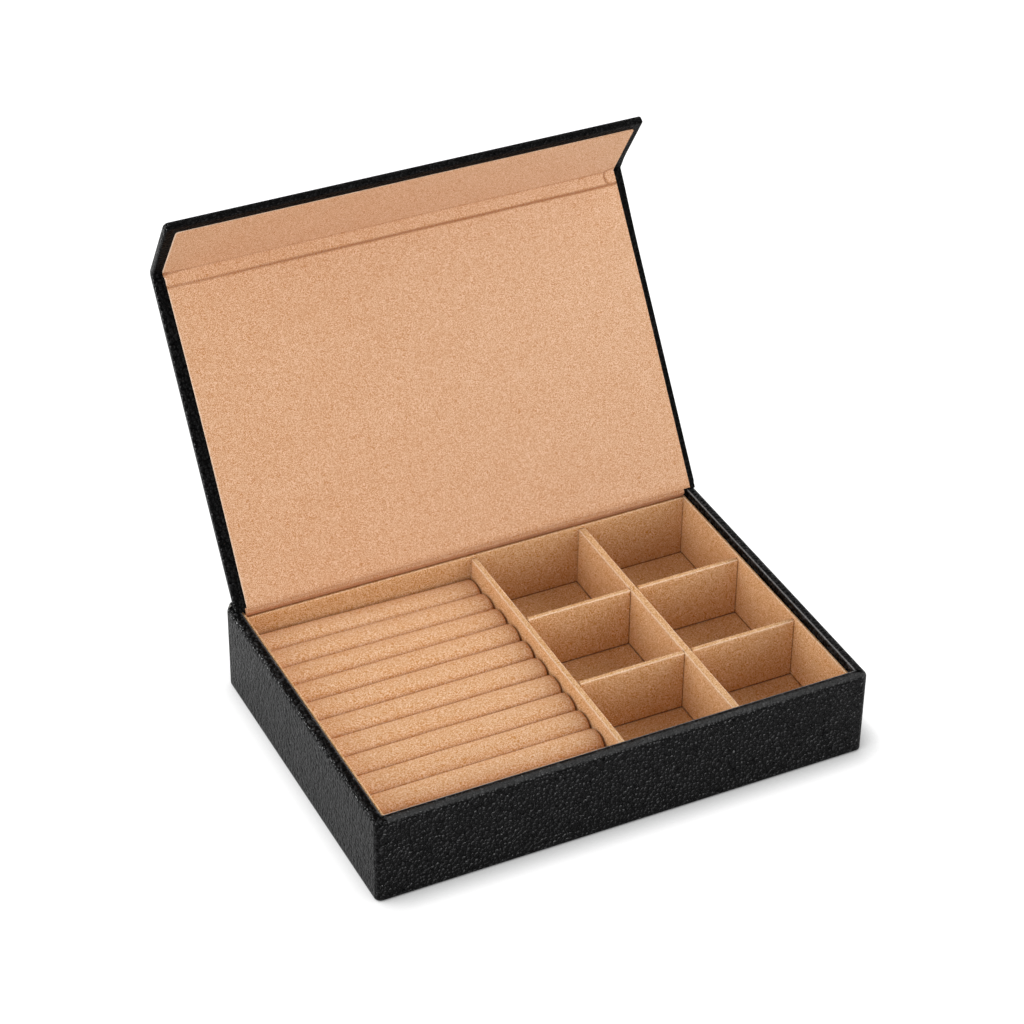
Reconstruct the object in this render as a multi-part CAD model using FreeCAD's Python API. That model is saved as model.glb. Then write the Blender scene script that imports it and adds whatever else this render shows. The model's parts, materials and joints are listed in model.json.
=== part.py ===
import FreeCAD, Part
import math
import os

# Jewellery box with a leather-covered tray, a lid that swings back on a suede
# hinge and a magnetic flap that folds down over the front wall.
# Millimetres. +Z is up, -Y is the front, and the origin is the centre of the
# underside. The lid is modelled shut and then swung open, which is how the
# box rests here.

# ---- driving dimensions: tray ----
BOX_WIDTH = 240.0          # outer width, along X
BOX_DEPTH = 168.0          # outer depth, along Y
RIM_HEIGHT = 44.0          # underside to the top of the leather rim
CORNER_RADIUS = 3.0        # upright corners of the leather
LEATHER = 0.9              # leather thickness, everywhere
WALL_BOARD = 3.3           # grey board in the four tray walls
BOTTOM_BOARD = 3.1
SPINE_BOARD = 1.2          # thin board behind the rear wall
SPINE_RISE = 2.0           # how far the spine ridge stands over the rim
UNDERSIDE_SHEET = 0.4
TURN_IN = 14.0             # leather turned over the rim and glued inside
TURN_UNDER = 14.0          # leather turned under the bottom board
UNDERSIDE_INSET = 2.5      # underside sheet, in from the outer face
RIM_OUTER_ROUND = 1.8
RIM_INNER_ROUND = 1.0
FOOT_ROUND = 1.0           # lower edge of the leather
SLIP = 0.2                 # assembly clearance of a pad in its frame

# ---- driving dimensions: lining and dividers ----
LINER = 1.5                # suede over card, on the inside of each wall
LINER_DROP = 3.7           # liner tops below the rim
FLOOR_FOAM = 2.6
FLOOR_SUEDE = 1.0
RING_BAY_LENGTH = 113.4    # ring rolls, along X
RING_DIVIDER = 3.3         # divider between the rings and the compartments
LONG_DIVIDER = 4.0         # divider between the two columns
CROSS_DIVIDER = 2.9
DIVIDER_TOP_DROP = 1.5     # divider tops below the liner tops
DIVIDER_SUEDE = 0.7
DIVIDER_TOP_ROUND = 1.0
REAR_ROW_DEPTH = 51.0
MIDDLE_ROW_DEPTH = 49.2
LAP_CLEARANCE = 0.1        # each side of a half-lap slot
END_CLEARANCE = 0.1        # divider end to liner

# ---- driving dimensions: ring rolls ----
ROLL_COUNT = 11
ROLL_SLIT = 0.3            # slit between two rolls that grips a ring
ROLL_CROWN_DROP = 7.7      # roll crowns below the liner tops
ROLL_END_GAP = 0.5         # roll end to the ring divider
ROLL_END_BEVEL = 1.6       # where the cover is tucked over the end of a roll
RING_BASE_BOARD = 3.0

# ---- driving dimensions: lid and flap ----
PANEL_SIDE_INSET = 1.2     # lid and flap, in from each side of the tray
PANEL_SHIFT = 1.1          # lid and flap, off centre towards +X on the soft hinge
PANEL_THICKNESS = 4.2      # suede face to outer leather face
PANEL_ROUND = 1.5          # long edges of the leather
PANEL_FOOT_ROUND = 0.5     # round the bevelled foot of the lid
LINING_PROUD = 0.5         # suede panel stands this far over the turned leather
LID_SEAT_GAP = 0.3         # shut lid over the rim
HINGE_SETBACK = 10.0       # hinge line, in from the rear face
HINGE_DROP = 0.34          # hinge line, below the rim
LID_OPEN_ANGLE = 123.9     # from shut to the rear stop
LID_FOOT_GAP = 0.25        # bevelled foot over the rim when open
FOLD_CHANNEL = 6.3         # soft strip between lid board and flap fold
FLAP_LENGTH = 41.4         # from the fold to the free edge
FLAP_START = 1.5           # fold to the rigid part of the flap
FLAP_FRONT_GAP = 0.4       # shut flap to the front wall
FLAP_REST_ANGLE = 65.5     # from flat, as the flap stands when open
FLAP_SHUT_ANGLE = 90.0
FLAP_CORNER_RADIUS = 2.4
PANEL_MARGIN_LEFT = 5.5    # bare leather beside the lid lining
PANEL_MARGIN_RIGHT = 3.0
FLAP_MARGIN_LEFT = 4.9
FLAP_MARGIN_RIGHT = 3.7
FLAP_MARGIN_FREE = 4.8
HINGE_SUEDE = 0.6
HINGE_TAIL_DEPTH = 26.0    # glued tail of the hinge behind the rear liner

# ---- driving dimensions: magnets ----
MAGNET_RADIUS = 6.0
MAGNET_THICKNESS = 1.6
MAGNET_END_INSET = 40.0    # magnet centres, in from each side of the tray
MAGNET_BELOW_FOLD = 27.0

# ---- derived: tray ----
HALF_W = BOX_WIDTH / 2
HALF_D = BOX_DEPTH / 2
SKIN_BASE = UNDERSIDE_SHEET
BOARD_BASE = UNDERSIDE_SHEET + LEATHER
BOARD_FLOOR = BOARD_BASE + BOTTOM_BOARD
BOARD_TOP = RIM_HEIGHT - LEATHER
WALL = LEATHER + WALL_BOARD + LEATHER
INNER_X = HALF_W - WALL
FRONT_WALL_Y = -HALF_D + WALL
SPINE_FRONT = HALF_D - LEATHER - SPINE_BOARD
REAR_WALL_Y = SPINE_FRONT - WALL_BOARD - LEATHER
LINER_TOP = RIM_HEIGHT - LINER_DROP
LINED_X = INNER_X - LINER
LINED_FRONT_Y = FRONT_WALL_Y + LINER
LINED_REAR_Y = REAR_WALL_Y - HINGE_SUEDE - LINER
FLOOR_TOP = BOARD_FLOOR + FLOOR_FOAM + FLOOR_SUEDE
DIVIDER_TOP = LINER_TOP - DIVIDER_TOP_DROP
RIDGE_RADIUS = (SPINE_BOARD + 2 * LEATHER) / 2
RIDGE_Y = HALF_D - RIDGE_RADIUS
RIDGE_Z = RIM_HEIGHT + SPINE_RISE - RIDGE_RADIUS

# ---- derived: compartments ----
RING_DIVIDER_X = -LINED_X + RING_BAY_LENGTH
COLUMN_START = RING_DIVIDER_X + RING_DIVIDER
COLUMN_WIDTH = (LINED_X - COLUMN_START - LONG_DIVIDER) / 2
LONG_DIVIDER_X = COLUMN_START + COLUMN_WIDTH
REAR_CROSS_Y = LINED_REAR_Y - REAR_ROW_DEPTH - CROSS_DIVIDER
FRONT_CROSS_Y = REAR_CROSS_Y - MIDDLE_ROW_DEPTH - CROSS_DIVIDER
LAP_HEIGHT = (FLOOR_TOP + DIVIDER_TOP) / 2

# ---- derived: lid and flap, in the shut position ----
HINGE_Y = HALF_D - HINGE_SETBACK
HINGE_Z = RIM_HEIGHT - HINGE_DROP
LID_FACE = RIM_HEIGHT + LID_SEAT_GAP
FOLD_Y = -HALF_D - FLAP_FRONT_GAP
CHANNEL_Y = FOLD_Y + FOLD_CHANNEL
PANEL_LEFT = -HALF_W + PANEL_SIDE_INSET + PANEL_SHIFT
PANEL_RIGHT = HALF_W - PANEL_SIDE_INSET + PANEL_SHIFT
FLAP_TIP = LID_FACE - FLAP_LENGTH
FLAP_TURN = FLAP_SHUT_ANGLE - FLAP_REST_ANGLE
PANEL_BOARD_LOW = LINING_PROUD + LEATHER
PANEL_BOARD_HIGH = PANEL_THICKNESS - LEATHER
FOOT_HEIGHT = RIM_HEIGHT + LID_FOOT_GAP
MAGNET_Z = LID_FACE - MAGNET_BELOW_FOLD

X_AXIS = FreeCAD.Vector(1, 0, 0)
Y_AXIS = FreeCAD.Vector(0, 1, 0)
Z_AXIS = FreeCAD.Vector(0, 0, 1)
TINY = 1e-4


def block(x0, x1, y0, y1, z0, z1):
    """A plain block between two corners."""
    return Part.makeBox(x1 - x0, y1 - y0, z1 - z0, FreeCAD.Vector(x0, y0, z0))


def edges_along(solid, axis, test):
    """Straight edges parallel to axis whose middle point passes the test."""
    found = []
    for edge in solid.Edges:
        if edge.Curve.TypeId != "Part::GeomLine":
            continue
        if abs(edge.Curve.Direction.dot(axis)) < 1 - TINY:
            continue
        if test(edge.CenterOfMass):
            found.append(edge)
    return found


def rounded_plan(x0, x1, y0, y1, z0, z1, radius):
    """A block with its four upright corners rounded."""
    solid = block(x0, x1, y0, y1, z0, z1)
    return solid.makeFillet(radius, edges_along(solid, Z_AXIS, lambda p: True))


def edges_at_height(solid, z):
    """Every edge that lies wholly at one height."""
    found = []
    for edge in solid.Edges:
        box = edge.BoundBox
        if abs(box.ZMin - z) < TINY and abs(box.ZMax - z) < TINY:
            found.append(edge)
    return found


def profile_along_x(points, x0, x1):
    """Extrude a closed outline of (y, z) points along X."""
    corners = [FreeCAD.Vector(x0, y, z) for y, z in points]
    wire = Part.makePolygon(corners + [corners[0]])
    return Part.Face(wire).extrude(FreeCAD.Vector(x1 - x0, 0, 0))


def swing_lid(solid):
    """Take a solid of the shut lid to its open place against the stop."""
    opened = solid.copy()
    opened.rotate(FreeCAD.Vector(0, HINGE_Y, HINGE_Z), X_AXIS, -LID_OPEN_ANGLE)
    return opened


def swing_flap(solid):
    """Take a solid of the shut flap to its place on the open lid."""
    raised = solid.copy()
    raised.rotate(FreeCAD.Vector(0, FOLD_Y, LID_FACE), X_AXIS, -FLAP_TURN)
    return swing_lid(raised)


def fold_point(along, depth):
    """A (y, z) point of the raised flap, on the shut lid.

    along is measured from the fold down the flap, depth from its suede face
    outwards.
    """
    turn = math.radians(FLAP_TURN)
    y = FOLD_Y - along * math.sin(turn) - depth * math.cos(turn)
    z = LID_FACE - along * math.cos(turn) + depth * math.sin(turn)
    return y, z


# ---- tray boards ----

def board_envelope(top):
    """The outer form of the tray boards, inside the leather."""
    solid = rounded_plan(
        -HALF_W + LEATHER, HALF_W - LEATHER,
        -HALF_D + LEATHER, HALF_D - LEATHER,
        BOARD_BASE, top, CORNER_RADIUS - LEATHER)
    return solid


def wall_board_form():
    solid = board_envelope(BOARD_TOP)
    return solid.makeFillet(RIM_OUTER_ROUND - LEATHER, edges_at_height(solid, BOARD_TOP))


def bottom_board():
    return board_envelope(BOARD_FLOOR)


def wall_board(x0, x1, y0, y1):
    """One wall board, standing on the bottom board."""
    return wall_board_form().common(block(x0, x1, y0, y1, BOARD_FLOOR, RIM_HEIGHT))


def magnet(x, y_outer):
    """A disc that lies flat in a wall or flap board."""
    centre = FreeCAD.Vector(x, y_outer, MAGNET_Z)
    return Part.makeCylinder(MAGNET_RADIUS, MAGNET_THICKNESS, centre, Y_AXIS)


def magnet_places():
    """Where the two pairs of magnets lie, along X."""
    return {"left": -HALF_W + MAGNET_END_INSET, "right": HALF_W - MAGNET_END_INSET}


def wall_magnet(x):
    return magnet(x, -HALF_D + LEATHER)


def front_wall_board():
    inner = -HALF_D + LEATHER + WALL_BOARD
    wall = wall_board(-HALF_W, HALF_W, -HALF_D, inner)
    for x in magnet_places().values():
        wall = wall.cut(wall_magnet(x))
    return wall


def rear_wall_board():
    front = SPINE_FRONT - WALL_BOARD
    return wall_board(-HALF_W, HALF_W, front, SPINE_FRONT)


def side_wall_board(side):
    """Left (-1) or right (+1) wall board, between the front and rear boards."""
    inner = side * (HALF_W - LEATHER - WALL_BOARD)
    outer = side * HALF_W
    front = -HALF_D + LEATHER + WALL_BOARD
    rear = SPINE_FRONT - WALL_BOARD
    return wall_board(min(inner, outer), max(inner, outer), front, rear)


def spine_board():
    """The thin board behind the rear wall, with a rounded top edge."""
    top = RIM_HEIGHT + SPINE_RISE - LEATHER
    solid = board_envelope(top)
    slab = block(-HALF_W, HALF_W, SPINE_FRONT, HALF_D, BOARD_FLOOR, top)
    edge = RIDGE_RADIUS - LEATHER
    cap = block(-HALF_W, HALF_W, SPINE_FRONT, HALF_D, RIDGE_Z, top)
    rod = Part.makeCylinder(edge, BOX_WIDTH, FreeCAD.Vector(-HALF_W, RIDGE_Y, RIDGE_Z), X_AXIS)
    return solid.common(slab.cut(cap).fuse(rod)).removeSplitter()


# ---- tray leather ----

def leather_outside():
    """The outer form of the tray with its rim and the spine ridge."""
    body = rounded_plan(
        -HALF_W, HALF_W, -HALF_D, HALF_D, SKIN_BASE, RIM_HEIGHT, CORNER_RADIUS)
    body = body.makeFillet(FOOT_ROUND, edges_at_height(body, SKIN_BASE))
    body = body.makeFillet(RIM_OUTER_ROUND, edges_at_height(body, RIM_HEIGHT))
    pocket = block(-INNER_X, INNER_X, FRONT_WALL_Y, REAR_WALL_Y, BOARD_FLOOR, RIM_HEIGHT)
    body = body.cut(pocket)
    rim = [e for e in edges_at_height(body, RIM_HEIGHT)
           if e.BoundBox.XLength > BOX_WIDTH / 2 or e.BoundBox.YLength > BOX_DEPTH / 2]
    inner = [e for e in rim if abs(e.CenterOfMass.x) < INNER_X + TINY
             and FRONT_WALL_Y - TINY < e.CenterOfMass.y < REAR_WALL_Y + TINY]
    body = body.makeFillet(RIM_INNER_ROUND, inner)
    return body.fuse(spine_ridge()).removeSplitter()


def spine_ridge():
    """The leather ridge along the top of the rear wall."""
    plan = rounded_plan(
        -HALF_W, HALF_W, -HALF_D, HALF_D, SKIN_BASE, RIM_HEIGHT * 2, CORNER_RADIUS)
    low = RIM_HEIGHT - 2 * RIM_OUTER_ROUND
    bar = block(-HALF_W, HALF_W, RIDGE_Y - RIDGE_RADIUS, HALF_D, low, RIDGE_Z)
    rod = Part.makeCylinder(
        RIDGE_RADIUS, BOX_WIDTH, FreeCAD.Vector(-HALF_W, RIDGE_Y, RIDGE_Z), X_AXIS)
    return bar.fuse(rod).common(plan).removeSplitter()


def tray_leather():
    """Leather round the walls, turned over the rim and under the bottom."""
    boards = board_envelope(BOARD_TOP)
    boards = boards.makeFillet(RIM_OUTER_ROUND - LEATHER, edges_at_height(boards, BOARD_TOP))
    front = -HALF_D + LEATHER + WALL_BOARD
    rear = SPINE_FRONT - WALL_BOARD
    side = HALF_W - LEATHER - WALL_BOARD
    boards = boards.cut(block(-side, side, front, rear, BOARD_FLOOR, RIM_HEIGHT))
    skin = leather_outside().cut(boards).cut(spine_board())
    behind = RIM_HEIGHT - TURN_IN
    skin = skin.cut(block(-side, side, front, rear, BOARD_BASE, behind))
    window = block(
        -HALF_W + TURN_UNDER, HALF_W - TURN_UNDER,
        -HALF_D + TURN_UNDER, HALF_D - TURN_UNDER, 0, BOARD_BASE)
    return skin.cut(window).removeSplitter()


def underside_sheet():
    """The paper that hides the turned leather, filled up inside its frame."""
    sheet = rounded_plan(
        -HALF_W + UNDERSIDE_INSET, HALF_W - UNDERSIDE_INSET,
        -HALF_D + UNDERSIDE_INSET, HALF_D - UNDERSIDE_INSET,
        0, UNDERSIDE_SHEET, CORNER_RADIUS)
    inset = TURN_UNDER + SLIP
    pad = block(-HALF_W + inset, HALF_W - inset, -HALF_D + inset, HALF_D - inset,
                UNDERSIDE_SHEET, BOARD_BASE)
    return sheet.fuse(pad).removeSplitter()


# ---- lining ----

def liner(x0, x1, y0, y1):
    """A suede-covered card with a rounded top edge."""
    card = block(x0, x1, y0, y1, BOARD_FLOOR, LINER_TOP)
    along_x = (x1 - x0) > (y1 - y0)
    axis = X_AXIS if along_x else Y_AXIS
    top = edges_along(card, axis, lambda p: p.z > LINER_TOP - TINY)
    return card.makeFillet(LINER * 0.4, top)


def side_liner(side):
    inner = side * LINED_X
    outer = side * INNER_X
    return liner(min(inner, outer), max(inner, outer), FRONT_WALL_Y, REAR_WALL_Y)


def front_liner():
    return liner(-LINED_X, LINED_X, FRONT_WALL_Y, LINED_FRONT_Y)


def rear_liner():
    return liner(-LINED_X, LINED_X, LINED_REAR_Y, LINED_REAR_Y + LINER)


def floor_layer(z0, z1):
    return block(-LINED_X, LINED_X, LINED_FRONT_Y, LINED_REAR_Y, z0, z1)


# ---- dividers ----

def divider_form(x0, x1, y0, y1, along):
    """The outer form of a divider: a slab with a rounded top."""
    slab = block(x0, x1, y0, y1, FLOOR_TOP, DIVIDER_TOP)
    top = edges_along(slab, along, lambda p: p.z > DIVIDER_TOP - TINY)
    return slab.makeFillet(DIVIDER_TOP_ROUND, top)


def split_divider(form, core):
    """Return the board core and the suede folded over it."""
    core_solid = form.common(core)
    return core_solid, form.cut(core)


def ring_divider():
    y0 = LINED_FRONT_Y + END_CLEARANCE
    y1 = LINED_REAR_Y - END_CLEARANCE
    x0 = RING_DIVIDER_X
    x1 = x0 + RING_DIVIDER
    form = divider_form(x0, x1, y0, y1, Y_AXIS)
    core = block(x0 + DIVIDER_SUEDE, x1 - DIVIDER_SUEDE, y0, y1,
                 FLOOR_TOP, DIVIDER_TOP - DIVIDER_SUEDE)
    return split_divider(form, core)


def cross_places():
    return {"rear": REAR_CROSS_Y, "front": FRONT_CROSS_Y}


def long_divider():
    """The divider between the columns, slotted from below."""
    y0 = LINED_FRONT_Y + END_CLEARANCE
    y1 = LINED_REAR_Y - END_CLEARANCE
    x0 = LONG_DIVIDER_X
    x1 = x0 + LONG_DIVIDER
    form = divider_form(x0, x1, y0, y1, Y_AXIS)
    for y in cross_places().values():
        slot = block(x0, x1, y - LAP_CLEARANCE, y + CROSS_DIVIDER + LAP_CLEARANCE,
                     FLOOR_TOP, LAP_HEIGHT)
        form = form.cut(slot)
    core = block(x0 + DIVIDER_SUEDE, x1 - DIVIDER_SUEDE, y0, y1,
                 FLOOR_TOP, DIVIDER_TOP - DIVIDER_SUEDE)
    return split_divider(form, core)


def cross_divider(y):
    """A divider across both columns, slotted from above."""
    x0 = COLUMN_START + END_CLEARANCE
    x1 = LINED_X - END_CLEARANCE
    form = divider_form(x0, x1, y, y + CROSS_DIVIDER, X_AXIS)
    slot = block(LONG_DIVIDER_X - LAP_CLEARANCE,
                 LONG_DIVIDER_X + LONG_DIVIDER + LAP_CLEARANCE,
                 y, y + CROSS_DIVIDER, LAP_HEIGHT, DIVIDER_TOP)
    form = form.cut(slot)
    core = block(x0, x1, y + DIVIDER_SUEDE, y + CROSS_DIVIDER - DIVIDER_SUEDE,
                 FLOOR_TOP, DIVIDER_TOP - DIVIDER_SUEDE)
    return split_divider(form, core)


# ---- ring rolls ----

def ring_base_board():
    return block(-LINED_X, RING_DIVIDER_X - ROLL_END_GAP, LINED_FRONT_Y, LINED_REAR_Y,
                 FLOOR_TOP, FLOOR_TOP + RING_BASE_BOARD)


def ring_roll(index):
    """One padded roll, counted from the rear."""
    pitch = (LINED_REAR_Y - LINED_FRONT_Y) / ROLL_COUNT
    y = LINED_REAR_Y - pitch * (index + 0.5)
    radius = (pitch - ROLL_SLIT) / 2
    crown = LINER_TOP - ROLL_CROWN_DROP
    z0 = FLOOR_TOP + RING_BASE_BOARD
    z1 = crown - radius
    x0 = -LINED_X
    x1 = RING_DIVIDER_X - ROLL_END_GAP
    front = y - radius
    rear = y + radius
    edges = [
        Part.makeLine(FreeCAD.Vector(x0, front, z0), FreeCAD.Vector(x0, front, z1)),
        Part.Arc(FreeCAD.Vector(x0, front, z1), FreeCAD.Vector(x0, y, crown),
                 FreeCAD.Vector(x0, rear, z1)).toShape(),
        Part.makeLine(FreeCAD.Vector(x0, rear, z1), FreeCAD.Vector(x0, rear, z0)),
        Part.makeLine(FreeCAD.Vector(x0, rear, z0), FreeCAD.Vector(x0, front, z0)),
    ]
    roll = Part.Face(Part.Wire(edges)).extrude(FreeCAD.Vector(x1 - x0, 0, 0))
    end = [e for e in roll.Edges
           if e.BoundBox.XMin > x1 - TINY and e.BoundBox.ZMax > z0 + TINY]
    return roll.makeChamfer(ROLL_END_BEVEL, end)


# ---- lid ----

def lid_block(x0, x1, depth0, depth1, front=None):
    """A slab of the shut lid, long enough to be cut by the foot.

    depth is measured from the suede face outwards.
    """
    if front is None:
        front = CHANNEL_Y
    return block(x0, x1, front, HALF_D, LID_FACE + depth0, LID_FACE + depth1)


def cut_foot(solid, height):
    """Swing a slab of the lid open and cut its foot level with the rim."""
    opened = swing_lid(solid)
    reach = BOX_DEPTH
    below = block(-BOX_WIDTH, BOX_WIDTH, HINGE_Y - reach, HINGE_Y + reach, -reach, height)
    return opened.cut(below)


def lid_window(depth0, depth1, margin):
    """The part of the lid that lies inside the turned leather."""
    slab = block(PANEL_LEFT + margin, PANEL_RIGHT - margin,
                 CHANNEL_Y, HALF_D, LID_FACE + depth0, LID_FACE + depth1)
    return cut_foot(slab, FOOT_HEIGHT + margin)


def lid_outside():
    """The outer form of the lid leather, with the bevelled foot."""
    slab = lid_block(PANEL_LEFT, PANEL_RIGHT, LINING_PROUD, PANEL_THICKNESS)
    sides = edges_along(slab, Y_AXIS, lambda p: True)
    slab = slab.makeFillet(PANEL_ROUND, sides)
    solid = cut_foot(slab, FOOT_HEIGHT)
    foot = edges_along(solid, X_AXIS, lambda p: p.z < FOOT_HEIGHT + TINY)
    return solid.makeFillet(PANEL_FOOT_ROUND, foot[:1])


def lid_board():
    slab = lid_block(PANEL_LEFT + LEATHER, PANEL_RIGHT - LEATHER,
                     PANEL_BOARD_LOW, PANEL_BOARD_HIGH)
    return cut_foot(slab, FOOT_HEIGHT + LEATHER)


def lid_leather():
    """Leather over the outside of the lid, turned in round three edges."""
    window = lid_window(LINING_PROUD, PANEL_BOARD_LOW, TURN_IN)
    return lid_outside().cut(lid_board()).cut(window)


def lid_lining():
    """The suede panel, with a raised back that fills the leather's window."""
    x0 = PANEL_LEFT + PANEL_MARGIN_LEFT
    x1 = PANEL_RIGHT - PANEL_MARGIN_RIGHT
    face = cut_foot(lid_block(x0, x1, 0, LINING_PROUD), FOOT_HEIGHT + LEATHER)
    back = lid_window(LINING_PROUD, PANEL_BOARD_LOW, TURN_IN + SLIP)
    return face.fuse(back).removeSplitter()


def lid_hinge_suede():
    """The soft strip that joins the rear wall to the foot of the lid."""
    tail_front = REAR_WALL_Y - HINGE_SUEDE
    lean = math.radians(LID_OPEN_ANGLE - 90)
    slope = math.tan(lean)
    face_y = HINGE_Y + (LID_FACE - HINGE_Z) / math.cos(lean) - HINGE_Z * slope
    top = FOOT_HEIGHT + LEATHER
    bend = RIM_HEIGHT - LID_FOOT_GAP
    back = LINING_PROUD / math.cos(lean)
    outline = [
        (tail_front, LINER_TOP - HINGE_TAIL_DEPTH),
        (REAR_WALL_Y, LINER_TOP - HINGE_TAIL_DEPTH),
        (REAR_WALL_Y, LINER_TOP),
        (face_y + bend * slope + HINGE_SUEDE, bend),
        (face_y + FOOT_HEIGHT * slope + back, FOOT_HEIGHT),
        (face_y + top * slope + back, top),
        (face_y + top * slope, top),
        (face_y + FOOT_HEIGHT * slope, FOOT_HEIGHT),
        (face_y + bend * slope, bend),
        (tail_front, LINER_TOP),
    ]
    return profile_along_x(outline, -LINED_X, LINED_X)


# ---- flap, modelled hanging down in front of the front wall ----

def flap_block(x0, x1, depth0, depth1, start, tip):
    """A slab of the shut flap; depth runs outwards from the suede face."""
    return block(x0, x1, FOLD_Y - depth1, FOLD_Y - depth0, tip, LID_FACE - start)


def flap_outside():
    slab = flap_block(PANEL_LEFT, PANEL_RIGHT, LINING_PROUD, PANEL_THICKNESS,
                      FLAP_START, FLAP_TIP)
    corners = edges_along(slab, Y_AXIS, lambda p: p.z < FLAP_TIP + TINY)
    slab = slab.makeFillet(FLAP_CORNER_RADIUS, corners)
    start = LID_FACE - FLAP_START
    rim = [e for e in slab.Edges
           if e.BoundBox.YLength < TINY and e.BoundBox.ZMin < start - TINY]
    return slab.makeFillet(PANEL_ROUND, rim)


def flap_magnet(x):
    return magnet(x, FOLD_Y - PANEL_BOARD_LOW - MAGNET_THICKNESS)


def flap_board_plain():
    slab = flap_block(PANEL_LEFT + LEATHER, PANEL_RIGHT - LEATHER,
                      PANEL_BOARD_LOW, PANEL_BOARD_HIGH, FLAP_START, FLAP_TIP + LEATHER)
    corners = edges_along(slab, Y_AXIS, lambda p: p.z < FLAP_TIP + LEATHER + TINY)
    return slab.makeFillet(FLAP_CORNER_RADIUS - LEATHER, corners)


def flap_board():
    board = flap_board_plain()
    for x in magnet_places().values():
        board = board.cut(flap_magnet(x))
    return board


def flap_window(margin):
    return flap_block(PANEL_LEFT + margin, PANEL_RIGHT - margin,
                      LINING_PROUD, PANEL_BOARD_LOW, FLAP_START, FLAP_TIP + margin)


def flap_leather():
    return flap_outside().cut(flap_board_plain()).cut(flap_window(TURN_IN))


def flap_lining():
    face = flap_block(PANEL_LEFT + FLAP_MARGIN_LEFT, PANEL_RIGHT - FLAP_MARGIN_RIGHT,
                      0, LINING_PROUD, FLAP_START, FLAP_TIP + FLAP_MARGIN_FREE)
    return face.fuse(flap_window(TURN_IN + SLIP)).removeSplitter()


# ---- fold between lid and flap ----

def fold_leather():
    """The leather round the outside of the fold, on the shut lid."""
    outer = PANEL_THICKNESS
    inner = LINING_PROUD
    turn = math.radians(FLAP_REST_ANGLE)
    mid = turn / 2
    reach = inner / math.cos(mid)
    start_outer = FreeCAD.Vector(0, CHANNEL_Y, LID_FACE + outer)
    over_fold = FreeCAD.Vector(0, FOLD_Y, LID_FACE + outer)
    arc_mid = FreeCAD.Vector(0, FOLD_Y - outer * math.sin(mid), LID_FACE + outer * math.cos(mid))
    fold_end = FreeCAD.Vector(0, *fold_point(0, outer))
    flap_outer = FreeCAD.Vector(0, *fold_point(FLAP_START, outer))
    flap_inner = FreeCAD.Vector(0, *fold_point(FLAP_START, inner))
    crease = FreeCAD.Vector(0, FOLD_Y - reach * math.sin(mid), LID_FACE + reach * math.cos(mid))
    start_inner = FreeCAD.Vector(0, CHANNEL_Y, LID_FACE + inner)
    edges = [
        Part.makeLine(start_outer, over_fold),
        Part.Arc(over_fold, arc_mid, fold_end).toShape(),
        Part.makeLine(fold_end, flap_outer),
        Part.makeLine(flap_outer, flap_inner),
        Part.makeLine(flap_inner, crease),
        Part.makeLine(crease, start_inner),
        Part.makeLine(start_inner, start_outer),
    ]
    section = Part.Face(Part.Wire(edges))
    strip = section.extrude(FreeCAD.Vector(PANEL_RIGHT - PANEL_LEFT, 0, 0))
    strip.translate(FreeCAD.Vector(PANEL_LEFT, 0, 0))
    return strip


def fold_suede():
    """The suede along the inside of the fold, on the shut lid."""
    turn = math.radians(FLAP_REST_ANGLE)
    reach = LINING_PROUD / math.cos(turn / 2)
    crease = (FOLD_Y - reach * math.sin(turn / 2), LID_FACE + reach * math.cos(turn / 2))
    outline = [
        (CHANNEL_Y, LID_FACE),
        (FOLD_Y, LID_FACE),
        fold_point(FLAP_START, 0),
        fold_point(FLAP_START, LINING_PROUD),
        crease,
        (CHANNEL_Y, LID_FACE + LINING_PROUD),
    ]
    return profile_along_x(outline, PANEL_LEFT + PANEL_MARGIN_LEFT,
                           PANEL_RIGHT - PANEL_MARGIN_RIGHT)


def build():
    """Name every piece of the box, in place with the lid open."""
    ring_core, ring_suede = ring_divider()
    long_core, long_suede = long_divider()
    parts = {
        "underside_sheet": underside_sheet(),
        "bottom_board": bottom_board(),
        "front_wall_board": front_wall_board(),
        "rear_wall_board": rear_wall_board(),
        "left_wall_board": side_wall_board(-1),
        "right_wall_board": side_wall_board(1),
        "spine_board": spine_board(),
        "tray_leather": tray_leather(),
        "front_liner": front_liner(),
        "rear_liner": rear_liner(),
        "left_liner": side_liner(-1),
        "right_liner": side_liner(1),
        "floor_foam": floor_layer(BOARD_FLOOR, FLOOR_TOP - FLOOR_SUEDE),
        "floor_suede": floor_layer(FLOOR_TOP - FLOOR_SUEDE, FLOOR_TOP),
        "ring_divider_board": ring_core,
        "ring_divider_suede": ring_suede,
        "long_divider_board": long_core,
        "long_divider_suede": long_suede,
        "ring_base_board": ring_base_board(),
        "lid_board": lid_board(),
        "lid_leather": lid_leather(),
        "lid_lining": lid_lining(),
        "lid_hinge_suede": lid_hinge_suede(),
        "fold_leather": swing_lid(fold_leather()),
        "fold_suede": swing_lid(fold_suede()),
        "flap_board": swing_flap(flap_board()),
        "flap_leather": swing_flap(flap_leather()),
        "flap_lining": swing_flap(flap_lining()),
    }
    for place, y in cross_places().items():
        core, suede = cross_divider(y)
        parts[place + "_cross_divider_board"] = core
        parts[place + "_cross_divider_suede"] = suede
    for index in range(ROLL_COUNT):
        parts["ring_roll_%02d" % (index + 1)] = ring_roll(index)
    for place, x in magnet_places().items():
        parts["wall_magnet_" + place] = wall_magnet(x)
        parts["flap_magnet_" + place] = swing_flap(flap_magnet(x))
    return parts


os.makedirs("parts", exist_ok=True)
for name, shape in build().items():
    shape.exportStep("parts/" + name + ".step")
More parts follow.
